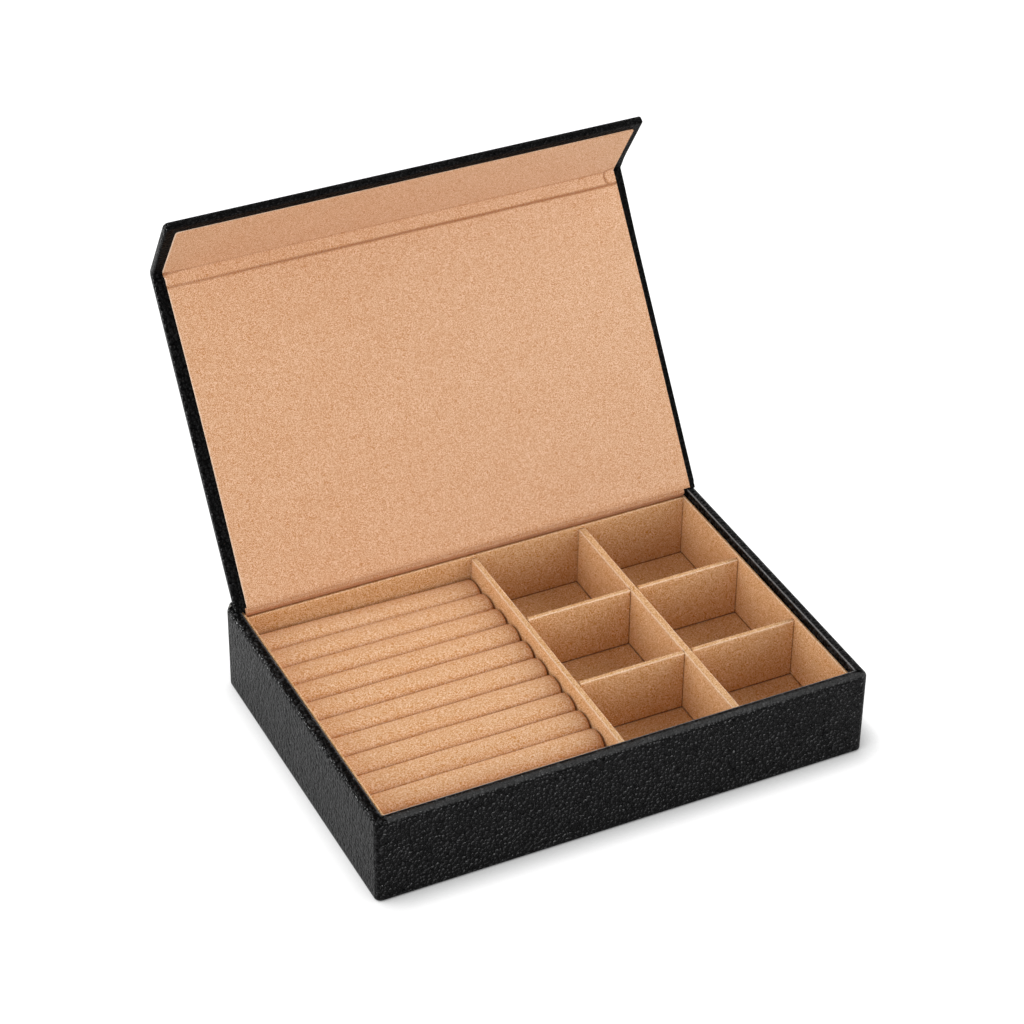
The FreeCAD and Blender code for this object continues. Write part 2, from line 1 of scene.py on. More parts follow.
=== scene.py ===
"""Dress the jewellery box: black pebbled leather outside, tan suede inside.

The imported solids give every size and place. This script adds the leather skin
of the tray, the one-piece cover and lining of the lid and its folding flap,
the soft hinge, the divider sleeves and the padded ring rolls, gives every
piece its finish, and sets up a plain studio. Lengths are in metres.
"""

import json
import logging
import math
from dataclasses import dataclass
from enum import Enum
from functools import reduce
from typing import Callable, Sequence

import bmesh
import bpy
import numpy as np
from mathutils import Matrix, Vector, noise


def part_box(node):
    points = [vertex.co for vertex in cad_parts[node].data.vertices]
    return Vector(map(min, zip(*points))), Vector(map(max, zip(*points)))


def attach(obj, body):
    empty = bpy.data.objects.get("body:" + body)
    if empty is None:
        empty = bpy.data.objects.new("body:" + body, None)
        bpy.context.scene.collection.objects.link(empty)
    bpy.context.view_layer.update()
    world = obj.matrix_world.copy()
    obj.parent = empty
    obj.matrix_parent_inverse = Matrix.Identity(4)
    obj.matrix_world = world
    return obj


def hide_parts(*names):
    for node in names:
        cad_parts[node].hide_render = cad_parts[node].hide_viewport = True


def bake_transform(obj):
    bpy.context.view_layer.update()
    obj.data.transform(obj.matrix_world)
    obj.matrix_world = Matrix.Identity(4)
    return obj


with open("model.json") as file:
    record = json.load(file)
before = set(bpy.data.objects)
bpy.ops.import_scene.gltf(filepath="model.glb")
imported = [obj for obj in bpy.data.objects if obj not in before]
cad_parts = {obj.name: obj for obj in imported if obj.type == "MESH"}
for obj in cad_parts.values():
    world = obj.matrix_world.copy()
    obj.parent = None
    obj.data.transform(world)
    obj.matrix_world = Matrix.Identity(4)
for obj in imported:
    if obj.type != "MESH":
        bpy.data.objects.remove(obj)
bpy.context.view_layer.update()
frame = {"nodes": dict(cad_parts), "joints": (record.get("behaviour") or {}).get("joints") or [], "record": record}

MM = 0.001
# Point attribute of painted marks: painted shade on suede and dullness on leather above 0, painted highlight below
# 0.
SEAM = "seam"
LOG = logging.getLogger("jewellery_box")
Colour = tuple[float, float, float]
Inputs = dict[int | str, object]
Lamp = tuple[str, float, tuple[float, float, float]]
Socket = bpy.types.NodeSocket
Section = list[tuple[float, float]]
Rings = list[list[Vector]]


class Slot(Enum):
    """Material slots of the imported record."""

    LEATHER = "leather"
    SUEDE = "suede"
    ROLL = "roll_velvet"
    BOARD = "board"
    FOAM = "foam"
    UNDERSIDE = "underside"
    MAGNET = "magnet"


class Body(Enum):
    """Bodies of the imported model."""

    TRAY = "tray"
    LID = "lid"
    FLAP = "flap"


# ---------------------------------------------------------------- finishes


class NodeGraph:
    """A short way to write the node tree of a material or world."""

    def __init__(self, owner: bpy.types.ID) -> None:
        """Start an empty tree.

        Args:
            owner: The new material or world.
        """
        owner.use_nodes = True
        self.tree = owner.node_tree
        self.tree.nodes.clear()

    def put(self, value: object, target: Socket) -> None:
        """Link a socket or set a constant.

        Args:
            value: An output socket, or a number or tuple.
            target: The input socket that takes it.
        """
        if isinstance(value, Socket):
            self.tree.links.new(value, target)
        else:
            target.default_value = value

    def add(self, kind: str, inputs: Inputs, output: int | str = 0,
            **settings: object) -> Socket | None:
        """Add a node.

        Args:
            kind: Its type, without the common start of the name.
            inputs: A socket or a constant for some of its inputs, by name or number.
            output: Which output is used.
            settings: Its other properties.

        Returns:
            The output socket, or None for a node without one.
        """
        node = self.tree.nodes.new(f"ShaderNode{kind}")
        for name, value in settings.items():
            setattr(node, name, value)
        for name, value in inputs.items():
            self.put(value, node.inputs[name])
        return node.outputs[output] if node.outputs else None

    def coordinates(self, stretch: Sequence[float] = (1.0, 1.0, 1.0)) -> Socket:
        """Give object coordinates in millimetres, each axis scaled by its stretch."""
        where = self.add("TexCoord", {}, "Object")
        return self.add("Mapping", {"Vector": where, "Scale": tuple(s / MM for s in stretch)})

    def noise(self, where: Socket, size: float, detail: float = 2.0, roughness: float = 0.5,
              distortion: float = 0.0, output: int | str = 0) -> Socket:
        """Add a noise pattern from 0 to 1 with blobs of size millimetres; detail is its octaves."""
        return self.add("TexNoise", {"Vector": where, "Scale": 1.0 / size, "Detail": detail,
                                     "Roughness": roughness, "Distortion": distortion}, output)

    def cells(self, where: Socket, size: float, feature: str = "F1",
              randomness: float = 1.0) -> Socket:
        """Add the distance of a cell pattern with cells of size millimetres; feature names the distance."""
        return self.add("TexVoronoi", {"Vector": where, "Scale": 1.0 / size, "Randomness": randomness},
                        "Distance", feature=feature)

    def math(self, kind: str, first: object, second: object = 0.0) -> Socket:
        """Add a sum, product or other operation on two sockets or numbers."""
        return self.add("Math", {0: first, 1: second}, operation=kind)

    def total(self, *parts: object) -> Socket:
        """Add up sockets or numbers, from the first on."""
        return reduce(lambda so_far, part: self.math("ADD", so_far, part), parts)

    def times(self, first: object, second: object) -> Socket:
        """Multiply two sockets or numbers."""
        return self.math("MULTIPLY", first, second)

    def vectors(self, kind: str, first: object, second: object = None) -> Socket:
        """Add a sum or other operation on two vectors, each a socket or a tuple."""
        inputs = {0: first} if second is None else {0: first, 1: second}
        return self.add("VectorMath", inputs, operation=kind)

    def remap(self, value: Socket, low: float, high: float,
              to_low: float = 0.0, to_high: float = 1.0, smooth: bool = False) -> Socket:
        """Map a range of values to another, clamped.

        Args:
            value: The number to map.
            low: Start of the input range.
            high: End of the input range.
            to_low: Result at the start.
            to_high: Result at the end.
            smooth: Ease in and out.

        Returns:
            The mapped number.
        """
        return self.add("MapRange", {"Value": value, "From Min": low, "From Max": high, "To Min": to_low,
                                     "To Max": to_high}, "Result",
                        interpolation_type="SMOOTHSTEP" if smooth else "LINEAR")

    def mix(self, share: object, first: object, second: object) -> Socket:
        """Mix two colours, each a socket or red, green and blue; share is how much of the second."""
        first, second = ((*c, 1.0) if isinstance(c, tuple) else c for c in (first, second))
        return self.add("Mix", {"Factor": share, "A": first, "B": second}, "Result", data_type="RGBA")

    def seams(self) -> Socket:
        """Read the painted mark: painted shade on suede and dullness on leather above 0 (up to 1), painted
        highlight below 0 (down to -1).
        """
        return self.add("Attribute", {}, "Fac", attribute_name=SEAM)

    def warp(self, where: Socket, size: float, amount: float) -> Socket:
        """Bend coordinates by a noise.

        Args:
            where: Coordinates in millimetres.
            size: Size of the noise, in millimetres.
            amount: How far points move, in millimetres.

        Returns:
            The bent coordinates.
        """
        cloud = self.noise(where, size, detail=1.0, output="Color")
        centred = self.vectors("SUBTRACT", cloud, (0.5, 0.5, 0.5))
        scaled = self.add("VectorMath", {0: centred, "Scale": amount * 2}, operation="SCALE")
        return self.vectors("ADD", where, scaled)

    def bump(self, height: Socket, depth: float) -> Socket:
        """Turn a height from 0 to 1 into a normal, where a height of 1 stands for depth millimetres."""
        return self.add("Bump", {"Strength": 1.0, "Distance": depth * MM, "Height": height})

    def seen_by(self, *rays: str) -> Socket:
        """Tell whether a ray is of one of these kinds, named as the light path's outputs."""
        return reduce(lambda first, second: self.math("MAXIMUM", first, second),
                      [self.add("LightPath", {}, ray) for ray in rays])

    def surface(self, shader: Socket, kind: str = "OutputMaterial") -> None:
        """Use a shader for the surface."""
        self.add(kind, {"Surface": shader})


@dataclass(frozen=True)
class Finish:
    """A finish that is drawn by nodes."""

    name: str

    def inputs(self, graph: NodeGraph) -> Inputs:
        """Draw the finish, and give the values of the shader's inputs."""
        raise NotImplementedError

    def material(self) -> bpy.types.Material:
        """Build the node material.

        Returns:
            The material.
        """
        material = bpy.data.materials.new(self.name)
        graph = NodeGraph(material)
        graph.surface(graph.add("BsdfPrincipled", self.inputs(graph)))
        return material


@dataclass(frozen=True)
class PebbledLeather(Finish):
    """Black leather with an uneven pebbled grain."""

    pebble: float = 2.0
    evenness: float = 0.75
    relief: float = 0.46
    groove: float = 0.3
    groove_width: float = 0.08
    # Painted highlight: this band, the next two and the offset place a crescent on the side of each pebble that
    # faces the light.
    rim_band: tuple[float, float] = (0.14, 0.3)
    glint_band: tuple[float, float] = (0.02, 0.13)
    glint_patches: tuple[float, float] = (0.36, 0.62)
    lumps: float = 0.3
    glint_offset: float = 0.12
    # Painted shade: the colour in the grooves between pebbles.
    crevice: Colour = (0.0009, 0.0009, 0.001)
    tone: Colour = (0.0016, 0.0016, 0.0017)
    # Colour of the painted highlight on the pebbles.
    glint_tone: Colour = (0.046, 0.046, 0.047)
    # Colour of the painted highlight along the rim.
    rim_highlight_tone: Colour = (0.4, 0.4, 0.4)
    roughness: float = 0.3
    gloss: float = 0.034

    def inputs(self, graph: NodeGraph) -> Inputs:
        """Draw domes with painted shade in the grooves round them and a painted highlight on the side of each that
        faces the light.

        Args:
            graph: The material's nodes.

        Returns:
            The values of the shader's inputs.
        """
        where = graph.coordinates()
        bent = graph.warp(where, 3.2 * self.pebble, 0.5 * self.pebble)
        bent = graph.warp(bent, 0.9 * self.pebble, 0.14 * self.pebble)
        edges = graph.cells(bent, self.pebble, "DISTANCE_TO_EDGE", self.evenness)
        centre = graph.cells(bent, self.pebble, "F1", self.evenness)
        dome = graph.math("SUBTRACT", 1.0, graph.times(graph.times(centre, centre), 1.9))
        groove = graph.remap(edges, 0.0, self.groove_width, smooth=True)
        small = graph.cells(bent, self.pebble * 0.5)
        share = graph.remap(graph.noise(where, 9.0), 0.45, 0.62, 0.0, 0.1)
        fine = graph.noise(where, 0.3, 2.0, 0.6)
        broad = graph.cells(bent, self.pebble * 2.3, "SMOOTH_F1", 0.9)
        height = graph.math("ADD", dome, graph.times(groove, self.groove))
        height = graph.math("SUBTRACT", height, graph.times(broad, self.lumps))
        height = graph.math("SUBTRACT", height, graph.times(small, share))
        height = graph.math("ADD", height, graph.times(fine, 0.008))
        mottle = graph.noise(where, 11.0, 4.0, 0.6)
        # Painted highlight: the cells seen again a little up and to the left give a crescent on the side of each
        # pebble that faces the light.
        glint_offset = self.glint_offset * self.pebble
        beyond = graph.cells(graph.vectors("ADD", bent, (-glint_offset, 0.0, glint_offset)), self.pebble, "F1", self.evenness)
        crest = graph.remap(graph.math("SUBTRACT", beyond, centre), *self.glint_band, smooth=True)
        rim = graph.times(groove, graph.remap(edges, *self.rim_band, 1.0, 0.12, smooth=True))
        glint_mask = graph.times(crest, graph.times(rim, graph.remap(mottle, *self.glint_patches, 0.5, 1.0)))
        # Painted highlight along the rim, where the mark is below 0.
        painted_rim_highlight = graph.times(graph.remap(graph.seams(), 0.0, -1.0), graph.remap(fine, 0.35, 0.65, 0.4, 1.0))
        # Painted shade in the grooves, then the painted highlight on the pebbles and along the rim.
        skin = graph.mix(glint_mask, graph.mix(groove, self.crevice, self.tone), self.glint_tone)
        uneven = graph.remap(graph.noise(where, 0.8, 3.0, 0.7), 0.35, 0.65,
                             self.roughness - 0.07, self.roughness + 0.1)
        dull = graph.remap(graph.seams(), 0.0, 1.0)
        # Painted shade of the gloss: the reflection is tinted down in the grooves.
        shine = graph.mix(groove, (0.05, 0.05, 0.05), (1.0, 1.0, 1.0))
        return {"Base Color": graph.mix(painted_rim_highlight, skin, self.rim_highlight_tone),
                "Roughness": graph.math("ADD", uneven, graph.times(dull, 0.3)),
                "Specular Tint": graph.mix(graph.times(dull, 0.9), shine, (0.02, 0.02, 0.02)),
                "Specular IOR Level": self.gloss,
                "Normal": graph.bump(height, self.relief)}


@dataclass(frozen=True)
class Microsuede(Finish):
    """Tan microsuede with a short nap, speckled and softly mottled."""

    light: Colour = (0.78, 0.515, 0.345)
    dark: Colour = (0.52, 0.232, 0.09)
    speckle: float = 0.38
    contrast: float = 0.6
    mottle: float = 16.0
    relief: float = 0.022
    sheen: float = 0.04
    cloudiness: float = 0.16
    # Colours of the painted shade and the painted highlight.
    seam: Colour = (0.13, 0.036, 0.009)
    painted_highlight_colour: Colour = (1.0, 0.82, 0.66)
    stretch: tuple[float, float, float] = (1.0, 1.0, 1.0)

    def inputs(self, graph: NodeGraph) -> Inputs:
        """Draw speckles, hairs and clouds, with painted shade where the mark is above 0 and a painted highlight
        where it is below 0.

        Args:
            graph: The material's nodes.

        Returns:
            The values of the shader's inputs.
        """
        where = graph.coordinates(self.stretch)
        bent = graph.warp(where, 5.0, 1.6)
        grain = graph.noise(bent, self.speckle, 1.0, 0.5, 0.5)
        hairs = graph.noise(where, self.speckle * 0.55, 1.0)
        cloud = graph.noise(bent, self.mottle, 4.0, 0.6, 0.6)
        brushed = graph.noise(where, self.mottle * 3.4, 3.0, 0.55, 1.2)
        tone = graph.total(
            graph.remap(grain, 0.39, 0.61, -self.contrast, self.contrast),
            graph.remap(hairs, 0.34, 0.66, -0.4 * self.contrast, 0.4 * self.contrast),
            graph.remap(cloud, 0.3, 0.7, -self.cloudiness, self.cloudiness),
            graph.remap(brushed, 0.3, 0.7, 0.5 - 0.6 * self.cloudiness, 0.5 + 0.6 * self.cloudiness))
        mark = graph.seams()
        # Painted shade where the mark is above 0.
        painted_shade = graph.times(graph.remap(mark, 0.0, 1.0), graph.remap(hairs, 0.35, 0.65, 0.8, 1.0))
        # Painted highlight where the mark is below 0.
        raised = graph.times(graph.remap(mark, 0.0, -1.0), graph.remap(grain, 0.3, 0.6, 0.4, 1.0))
        nap = graph.mix(raised, graph.mix(tone, self.dark, self.light), self.painted_highlight_colour)
        height = graph.total(grain, graph.times(hairs, 0.5), graph.times(cloud, 0.8))
        return {"Base Color": graph.mix(painted_shade, nap, self.seam),
                "Roughness": graph.remap(grain, 0.3, 0.7, 0.98, 0.86),
                "Specular IOR Level": 0.02,
                "Sheen Weight": self.sheen,
                "Sheen Roughness": 0.45,
                "Sheen Tint": (1.0, 0.86, 0.74, 1.0),
                "Normal": graph.bump(height, self.relief)}


@dataclass(frozen=True)
class PlainFinish(Finish):
    """Board, foam, fibre paper or plated metal that is mostly hidden."""

    tone: Colour
    second_tone: Colour
    fibre: float = 0.6
    relief: float = 0.03
    roughness: float = 0.85
    metallic: float = 0.0

    def inputs(self, graph: NodeGraph) -> Inputs:
        """Draw fine fibres over broad blotches.

        Args:
            graph: The material's nodes.

        Returns:
            The values of the shader's inputs.
        """
        where = graph.coordinates((1.0, 1.6, 1.0))
        fibres = graph.noise(where, self.fibre, 4.0, 0.7, 0.8)
        blotch = graph.noise(where, self.fibre * 18, 3.0, 0.6)
        tone = graph.math("ADD", graph.times(graph.remap(fibres, 0.3, 0.7), 0.6),
                          graph.times(graph.remap(blotch, 0.3, 0.7), 0.4))
        return {"Base Color": graph.mix(tone, self.tone, self.second_tone),
                "Roughness": graph.remap(blotch, 0.3, 0.7, self.roughness - 0.08, self.roughness + 0.06),
                "Metallic": self.metallic,
                "Normal": graph.bump(fibres, self.relief)}


class Wardrobe:
    """Every finish of the box, each built once."""

    def __init__(self) -> None:
        """Build the materials."""
        self.leather = PebbledLeather("tray_leather_finish").material()
        self.lid_leather = PebbledLeather("lid_leather_finish", pebble=1.7, relief=0.42,
                                          glint_tone=(0.02, 0.02, 0.0205)).material()
        self.lining = Microsuede("lid_lining_finish", mottle=14.0, contrast=0.72, cloudiness=0.06,
                                 seam=(0.24, 0.075, 0.02)).material()
        # The tray's suede is a copy of the lining suede with brighter lights, more contrast and deeper, more
        # saturated darks: painted light and shade for the compartments.
        self.suede = Microsuede("shaded_tray_suede_finish", light=(0.87, 0.61, 0.385),
                                dark=(0.51, 0.21, 0.03), contrast=1.0, cloudiness=0.07).material()
        self.roll = Microsuede("roll_suede_finish", light=(0.87, 0.61, 0.41), dark=(0.62, 0.27, 0.08),
                               contrast=0.78, cloudiness=0.06, stretch=(0.7, 1.0, 1.0)).material()
        board = PlainFinish("grey_board_finish", (0.30, 0.29, 0.27), (0.42, 0.41, 0.38))
        foam = PlainFinish("padding_finish", (0.75, 0.72, 0.64), (0.86, 0.84, 0.78))
        paper = PlainFinish("underside_finish", (0.012, 0.012, 0.012), (0.03, 0.03, 0.03),
                            fibre=0.9, relief=0.05)
        disc = PlainFinish("plated_disc_finish", (0.55, 0.55, 0.57), (0.7, 0.7, 0.72),
                           roughness=0.3, metallic=1.0)
        self.by_slot = {Slot.LEATHER: self.leather, Slot.SUEDE: self.suede, Slot.ROLL: self.roll,
                        Slot.BOARD: board.material(), Slot.FOAM: foam.material(),
                        Slot.UNDERSIDE: paper.material(), Slot.MAGNET: disc.material()}


# ---------------------------------------------------------------- meshes


def clamped(value: float) -> float:
    """Keep a number between 0 and 1."""
    return min(1.0, max(0.0, value))


def smoothstep(value: float) -> float:
    """Ease a number from 0 to 1, clamped."""
    share = clamped(value)
    return share * share * (3 - 2 * share)


def fade(value: float) -> float:
    """Ease from 1 to 0 as a number goes from 0 to 1."""
    return 1 - smoothstep(value)


def rounding(share: float) -> float:
    """How far a quarter circle lies in from its corner, from 0 to 1, at a share of its length."""
    return 1 - math.sqrt(max(0.0, 1 - share * share))


def blended(first: tuple[float, float], second: tuple[float, float], share: float) -> tuple[float, float]:
    """A point between two others."""
    return (first[0] + (second[0] - first[0]) * share, first[1] + (second[1] - first[1]) * share)


def spread(start: float, end: float, step: float) -> list[float]:
    """Space numbers evenly from start to end, both included, no two further apart than step."""
    count = max(1, math.ceil(abs(end - start) / step))
    return [start + (end - start) * i / count for i in range(count + 1)]


def even(start: float, end: float, count: int) -> list[float]:
    """Space a fixed number of numbers evenly, both ends included."""
    return [start + (end - start) * i / (count - 1) for i in range(count)]


def arc(centre: tuple[float, float], radius: float, start: float, end: float,
        count: int) -> Section:
    """Points on a circular arc.

    Args:
        centre: Centre of the circle.
        radius: Its radius.
        start: First angle in degrees.
        end: Last angle in degrees.
        count: Number of steps.

    Returns:
        The points, both ends included.
    """
    points = []
    for i in range(count + 1):
        turn = math.radians(start + (end - start) * i / count)
        points.append((centre[0] + radius * math.cos(turn), centre[1] + radius * math.sin(turn)))
    return points


def ring_mesh(name: str, shells: Sequence[Rings], closed: bool = False,
              sharp_deg: float = 42.0) -> bpy.types.Object:
    """Join rows of rings into closed shells in one object.

    Args:
        name: Name of the piece.
        shells: For each shell, its rings, each a loop of as many points.
        closed: Whether the last ring meets the first.
        sharp_deg: Edges that turn more than this stay sharp.

    Returns:
        The new object, linked to the scene.
    """
    mesh = bpy.data.meshes.new(name)
    work = bmesh.new()
    for rings in shells:
        rows = [[work.verts.new(p) for p in ring] for ring in rings]
        pairs = list(zip(rows, rows[1:]))
        if closed:
            pairs.append((rows[-1], rows[0]))
        for first, second in pairs:
            count = len(first)
            for i in range(count):
                j = (i + 1) % count
                work.faces.new((first[i], first[j], second[j], second[i]))
        if not closed:
            work.faces.new(list(reversed(rows[0])))
            work.faces.new(rows[-1])
    bmesh.ops.remove_doubles(work, verts=work.verts, dist=1e-6)
    bmesh.ops.dissolve_degenerate(work, edges=work.edges, dist=1e-6)
    bmesh.ops.recalc_face_normals(work, faces=work.faces)
    work.to_mesh(mesh)
    work.free()
    mesh.shade_smooth()
    mesh.set_sharp_from_angle(angle=math.radians(sharp_deg))
    piece = bpy.data.objects.new(name, mesh)
    bpy.context.scene.collection.objects.link(piece)
    return piece


def unevenness(point: Vector, size: float, seed: float) -> float:
    """Smooth noise from -1 to 1 at a point, with waves of size millimetres and a seed that shifts it."""
    return noise.noise(point / (size * MM) + Vector((seed, 0.7 * seed, -seed)))


def mark_seams(piece: bpy.types.Object, strength: Callable[[Vector], float]) -> None:
    """Write the painted mark at each point of a piece: painted shade on suede and dullness on leather above 0,
    painted highlight below 0.

    Args:
        piece: The piece.
        strength: Gives -1 (painted highlight) to 1 (painted shade on suede, dullness on leather) for a point in
            the row frame.
    """
    marks = piece.data.attributes.new(SEAM, "FLOAT", "POINT")
    values = [strength(vertex.co) for vertex in piece.data.vertices]
    marks.data.foreach_set("value", np.array(values, dtype=np.float32))


def dress(piece: bpy.types.Object, material: bpy.types.Material, slot: Slot, *nodes: str) -> None:
    """Give a piece its finish and hide the solids that it stands for.

    Args:
        piece: The piece.
        material: Its finish.
        slot: Its material slot in the record; not used.
        nodes: The solids that it stands for.
    """
    piece.data.materials.clear()
    piece.data.materials.append(material)
    if nodes:
        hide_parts(*nodes)
    LOG.info("%s: %d faces", piece.name, len(piece.data.polygons))


@dataclass
class CarriedSolids:
    """The solids that keep their own form and get a finish."""

    wardrobe: Wardrobe

    def build(self) -> None:
        """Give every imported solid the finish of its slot."""
        for row in frame["record"]["subparts"]:
            node = frame["nodes"][row["node"]]
            material = self.wardrobe.by_slot[Slot(row["material_slot"])]
            node.data.materials.clear()
            node.data.materials.append(material)
        LOG.info("carried solids: %d", len(frame["nodes"]))


# ---------------------------------------------------------------- tray


@dataclass
class TraySkin:
    """The leather round the tray walls, turned over the rim and under the bottom."""

    wardrobe: Wardrobe
    thickness: float = 0.9 * MM
    corner: float = 3.0 * MM
    rim_round: float = 2.2 * MM
    inner_round: float = 0.9 * MM
    foot_round: float = 1.0 * MM
    turn_in: float = 14.0 * MM
    turn_under: float = 14.0 * MM
    ridge_rise: float = 2.0 * MM
    ridge_radius: float = 1.5 * MM
    mitre_depth: float = 0.55 * MM
    mitre_width: float = 0.5 * MM
    mitre_start: float = 0.4 * MM
    mitre_run: float = 2.2 * MM
    rim_end: float = 3.4 * MM
    dull_band: float = 3.2 * MM
    # The next four paint a highlight along the rounded top of the front and rear rims.
    front_highlight: float = 0.14
    streak_width: float = 2.0 * MM
    streak_fade: float = 1.6 * MM
    streak_rise: float = 0.8 * MM
    # Share of the painted highlight on the left rim's inner edge.
    left_highlight_share: float = 0.4
    corner_steps: Sequence[float] = (0.0, 0.25, 0.5, 0.75, 1.0, 1.3, 1.7, 2.3, 3.0, 4.0, 5.5, 8.0, 12.0, 18.0)
    corner_turns: int = 12
    wall_step: float = 8.0 * MM

    def __post_init__(self) -> None:
        """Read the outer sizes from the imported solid."""
        low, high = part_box("tray_leather")
        self.half_width = high.x
        self.half_depth = high.y
        self.base = low.z
        self.rim = high.z - self.ridge_rise
        self.side_wall = self.half_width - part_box("right_liner")[1].x
        self.rear_wall = self.half_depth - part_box("lid_hinge_suede")[1].y

    def profile(self, wall: float, ridge: float) -> Section:
        """Section through one wall, as (inset, height) points round the leather.

        Args:
            wall: Thickness of the wall, leather included.
            ridge: How much of the rear ridge it has, from 0 to 1.

        Returns:
            The closed section, outer side first.
        """
        top = self.rim
        skin = self.thickness
        rim_round = self.rim_round
        foot = self.foot_round
        outer: Section = [(self.turn_under, self.base)]
        outer += arc((foot, self.base + foot), foot, 270, 180, 4)
        outer += [(0.0, z) for z in spread(self.base + foot, top - rim_round, 2.0 * MM)[1:]]
        plain = arc((rim_round, top - rim_round), rim_round, 180, 90, 8)
        plain += [(x, top) for x in spread(rim_round, self.rim_end, 0.15 * MM)[1:]]
        crest = self.ridge_radius
        raised = [(0.0, z) for z in spread(top - rim_round, top + self.ridge_rise - crest, 0.9 * MM)]
        raised += arc((crest, top + self.ridge_rise - crest), crest, 180, 0, 10)[1:]
        raised += [(2 * crest, top)]
        raised = self.resample(raised, len(plain))
        outer += [blended(a, b, ridge) for a, b in zip(plain, raised)]
        inner = self.inner_round
        outer += [(x, top) for x in even(self.rim_end, wall - inner, 5)[1:]]
        outer += arc((wall - inner, top - inner), inner, 90, 0, 5)[1:]
        depth = top - self.turn_in
        outer += [(wall, z) for z in spread(top - inner, depth, 3.0 * MM)[1:]]
        back = [(wall - skin, depth), (wall - skin, top - skin), (skin + rim_round / 2, top - skin)]
        back += [(skin, top - rim_round), (skin, self.base + skin + foot)]
        back += [(skin + foot, self.base + skin), (self.turn_under, self.base + skin)]
        return outer + back

    @staticmethod
    def resample(points: Section, count: int) -> Section:
        """Space points evenly along a line of points.

        Args:
            points: The line.
            count: How many points come back.

        Returns:
            The evenly spaced points.
        """
        line = np.array(points)
        steps = np.hypot(*np.diff(line, axis=0).T)
        along = np.concatenate([[0.0], np.cumsum(steps)])
        wanted = np.linspace(0.0, along[-1], count)
        return list(zip(np.interp(wanted, along, line[:, 0]), np.interp(wanted, along, line[:, 1])))

    def stations(self) -> list[tuple[float, float, float, float, float]]:
        """Places round the tray, as (corner x, corner y, turn, slide, ridge).

        Returns:
            For each place: signs of the nearest corner, the turn of the
            outward normal in degrees, the distance from the corner's centre
            along the wall, and the share of the ridge.
        """
        near = [n * MM for n in self.corner_steps]
        places = []
        corners = [(-1, -1, 180, 270), (1, -1, 270, 360), (1, 1, 0, 90), (-1, 1, 90, 180)]
        for sign_x, sign_y, start, end in corners:
            before_half = (self.half_depth if start in (180, 0) else self.half_width) - self.corner
            after_half = (self.half_width if start in (180, 0) else self.half_depth) - self.corner
            before = near + spread(near[-1], before_half, self.wall_step)[1:]
            after = near + spread(near[-1], after_half, self.wall_step)[1:]
            rear_before = 1.0 if start == 90 else 0.0
            rear_after = 1.0 if start == 0 else 0.0
            for slide in reversed(before[1:]):
                places.append((sign_x, sign_y, start, -slide, rear_before))
            for i in range(self.corner_turns + 1):
                turn = start + (end - start) * i / self.corner_turns
                ridge = rear_before + (rear_after - rear_before) * smoothstep(i / self.corner_turns)
                places.append((sign_x, sign_y, turn, 0.0, ridge))
            for slide in after[1:-1]:
                places.append((sign_x, sign_y, end, slide, rear_after))
        return places

    def ring(self, place: tuple[float, float, float, float, float]) -> list[Vector]:
        """The section at one place, in the row frame.

        Args:
            place: A row of stations().

        Returns:
            The loop of points.
        """
        sign_x, sign_y, turn, slide, ridge = place
        side = self.profile(self.side_wall, ridge)
        rear = self.profile(self.rear_wall if sign_y > 0 else self.side_wall, ridge)
        out = Vector((math.cos(math.radians(turn)), math.sin(math.radians(turn)), 0.0))
        along = Vector((-out.y, out.x, 0.0))
        centre = Vector((sign_x * (self.half_width - self.corner),
                         sign_y * (self.half_depth - self.corner), 0.0))
        points = []
        for (inset_x, height), (inset_y, height_y) in zip(side, rear):
            deep = Vector((-sign_x * max(0.0, inset_x - self.corner),
                           -sign_y * max(0.0, inset_y - self.corner), 0.0))
            if abs(out.x) < 1e-6:
                deep.x = 0.0 if slide else deep.x
                inset = inset_y
            elif abs(out.y) < 1e-6:
                deep.y = 0.0 if slide else deep.y
                inset = inset_x
            else:
                inset = min(inset_x, inset_y)
            reach = max(0.0, self.corner - inset)
            point = centre + out * reach + along * slide + deep
            point.z = height if abs(out.y) < 0.5 else height_y
            points.append(self.settle(point))
        return points

    def settle(self, point: Vector) -> Vector:
        """Press the mitred folds into the rim and let the leather swell a little.

        Args:
            point: A point of the skin.

        Returns:
            The moved point.
        """
        gap_x = self.half_width - abs(point.x)
        gap_y = self.half_depth - abs(point.y)
        if point.z > self.rim - 0.1 * MM and max(gap_x, gap_y) < 2 * self.side_wall:
            off_diagonal = abs(gap_x - gap_y) / math.sqrt(2)
            inward = smoothstep((min(gap_x, gap_y) - self.mitre_start) / self.mitre_run)
            point.z -= self.mitre_depth * inward * math.exp(-(off_diagonal / self.mitre_width) ** 2)
        return point

    def painted_rim_highlight(self, point: Vector) -> float:
        """How much the leather is dulled on top of the left rim, and how much painted highlight lies on the rim's
        inner edge and on the front and rear rims' rounded tops.

        Args:
            point: A point of the skin.

        Returns:
            From -1 (painted highlight) to 1 (dull).
        """
        wall = self.rear_wall if point.y > 0 else self.side_wall
        inward = min(self.half_width - abs(point.x) - self.side_wall, self.half_depth - abs(point.y) - wall)
        below = self.rim - point.z
        if below > 2 * self.inner_round or below < -0.1 * MM:
            return 0.0
        on_left = self.half_width + point.x < self.side_wall + self.inner_round
        if abs(inward + 0.6 * self.inner_round) > self.inner_round:
            if on_left:
                return smoothstep((inward + self.dull_band + 1.0 * MM) / (1.0 * MM))
            # Painted highlight along the rounded top of the front and rear rims.
            from_face = self.half_depth - abs(point.y)
            outer = fade((from_face - self.streak_width) / self.streak_fade)
            return -self.front_highlight * outer * smoothstep(from_face / self.streak_rise)
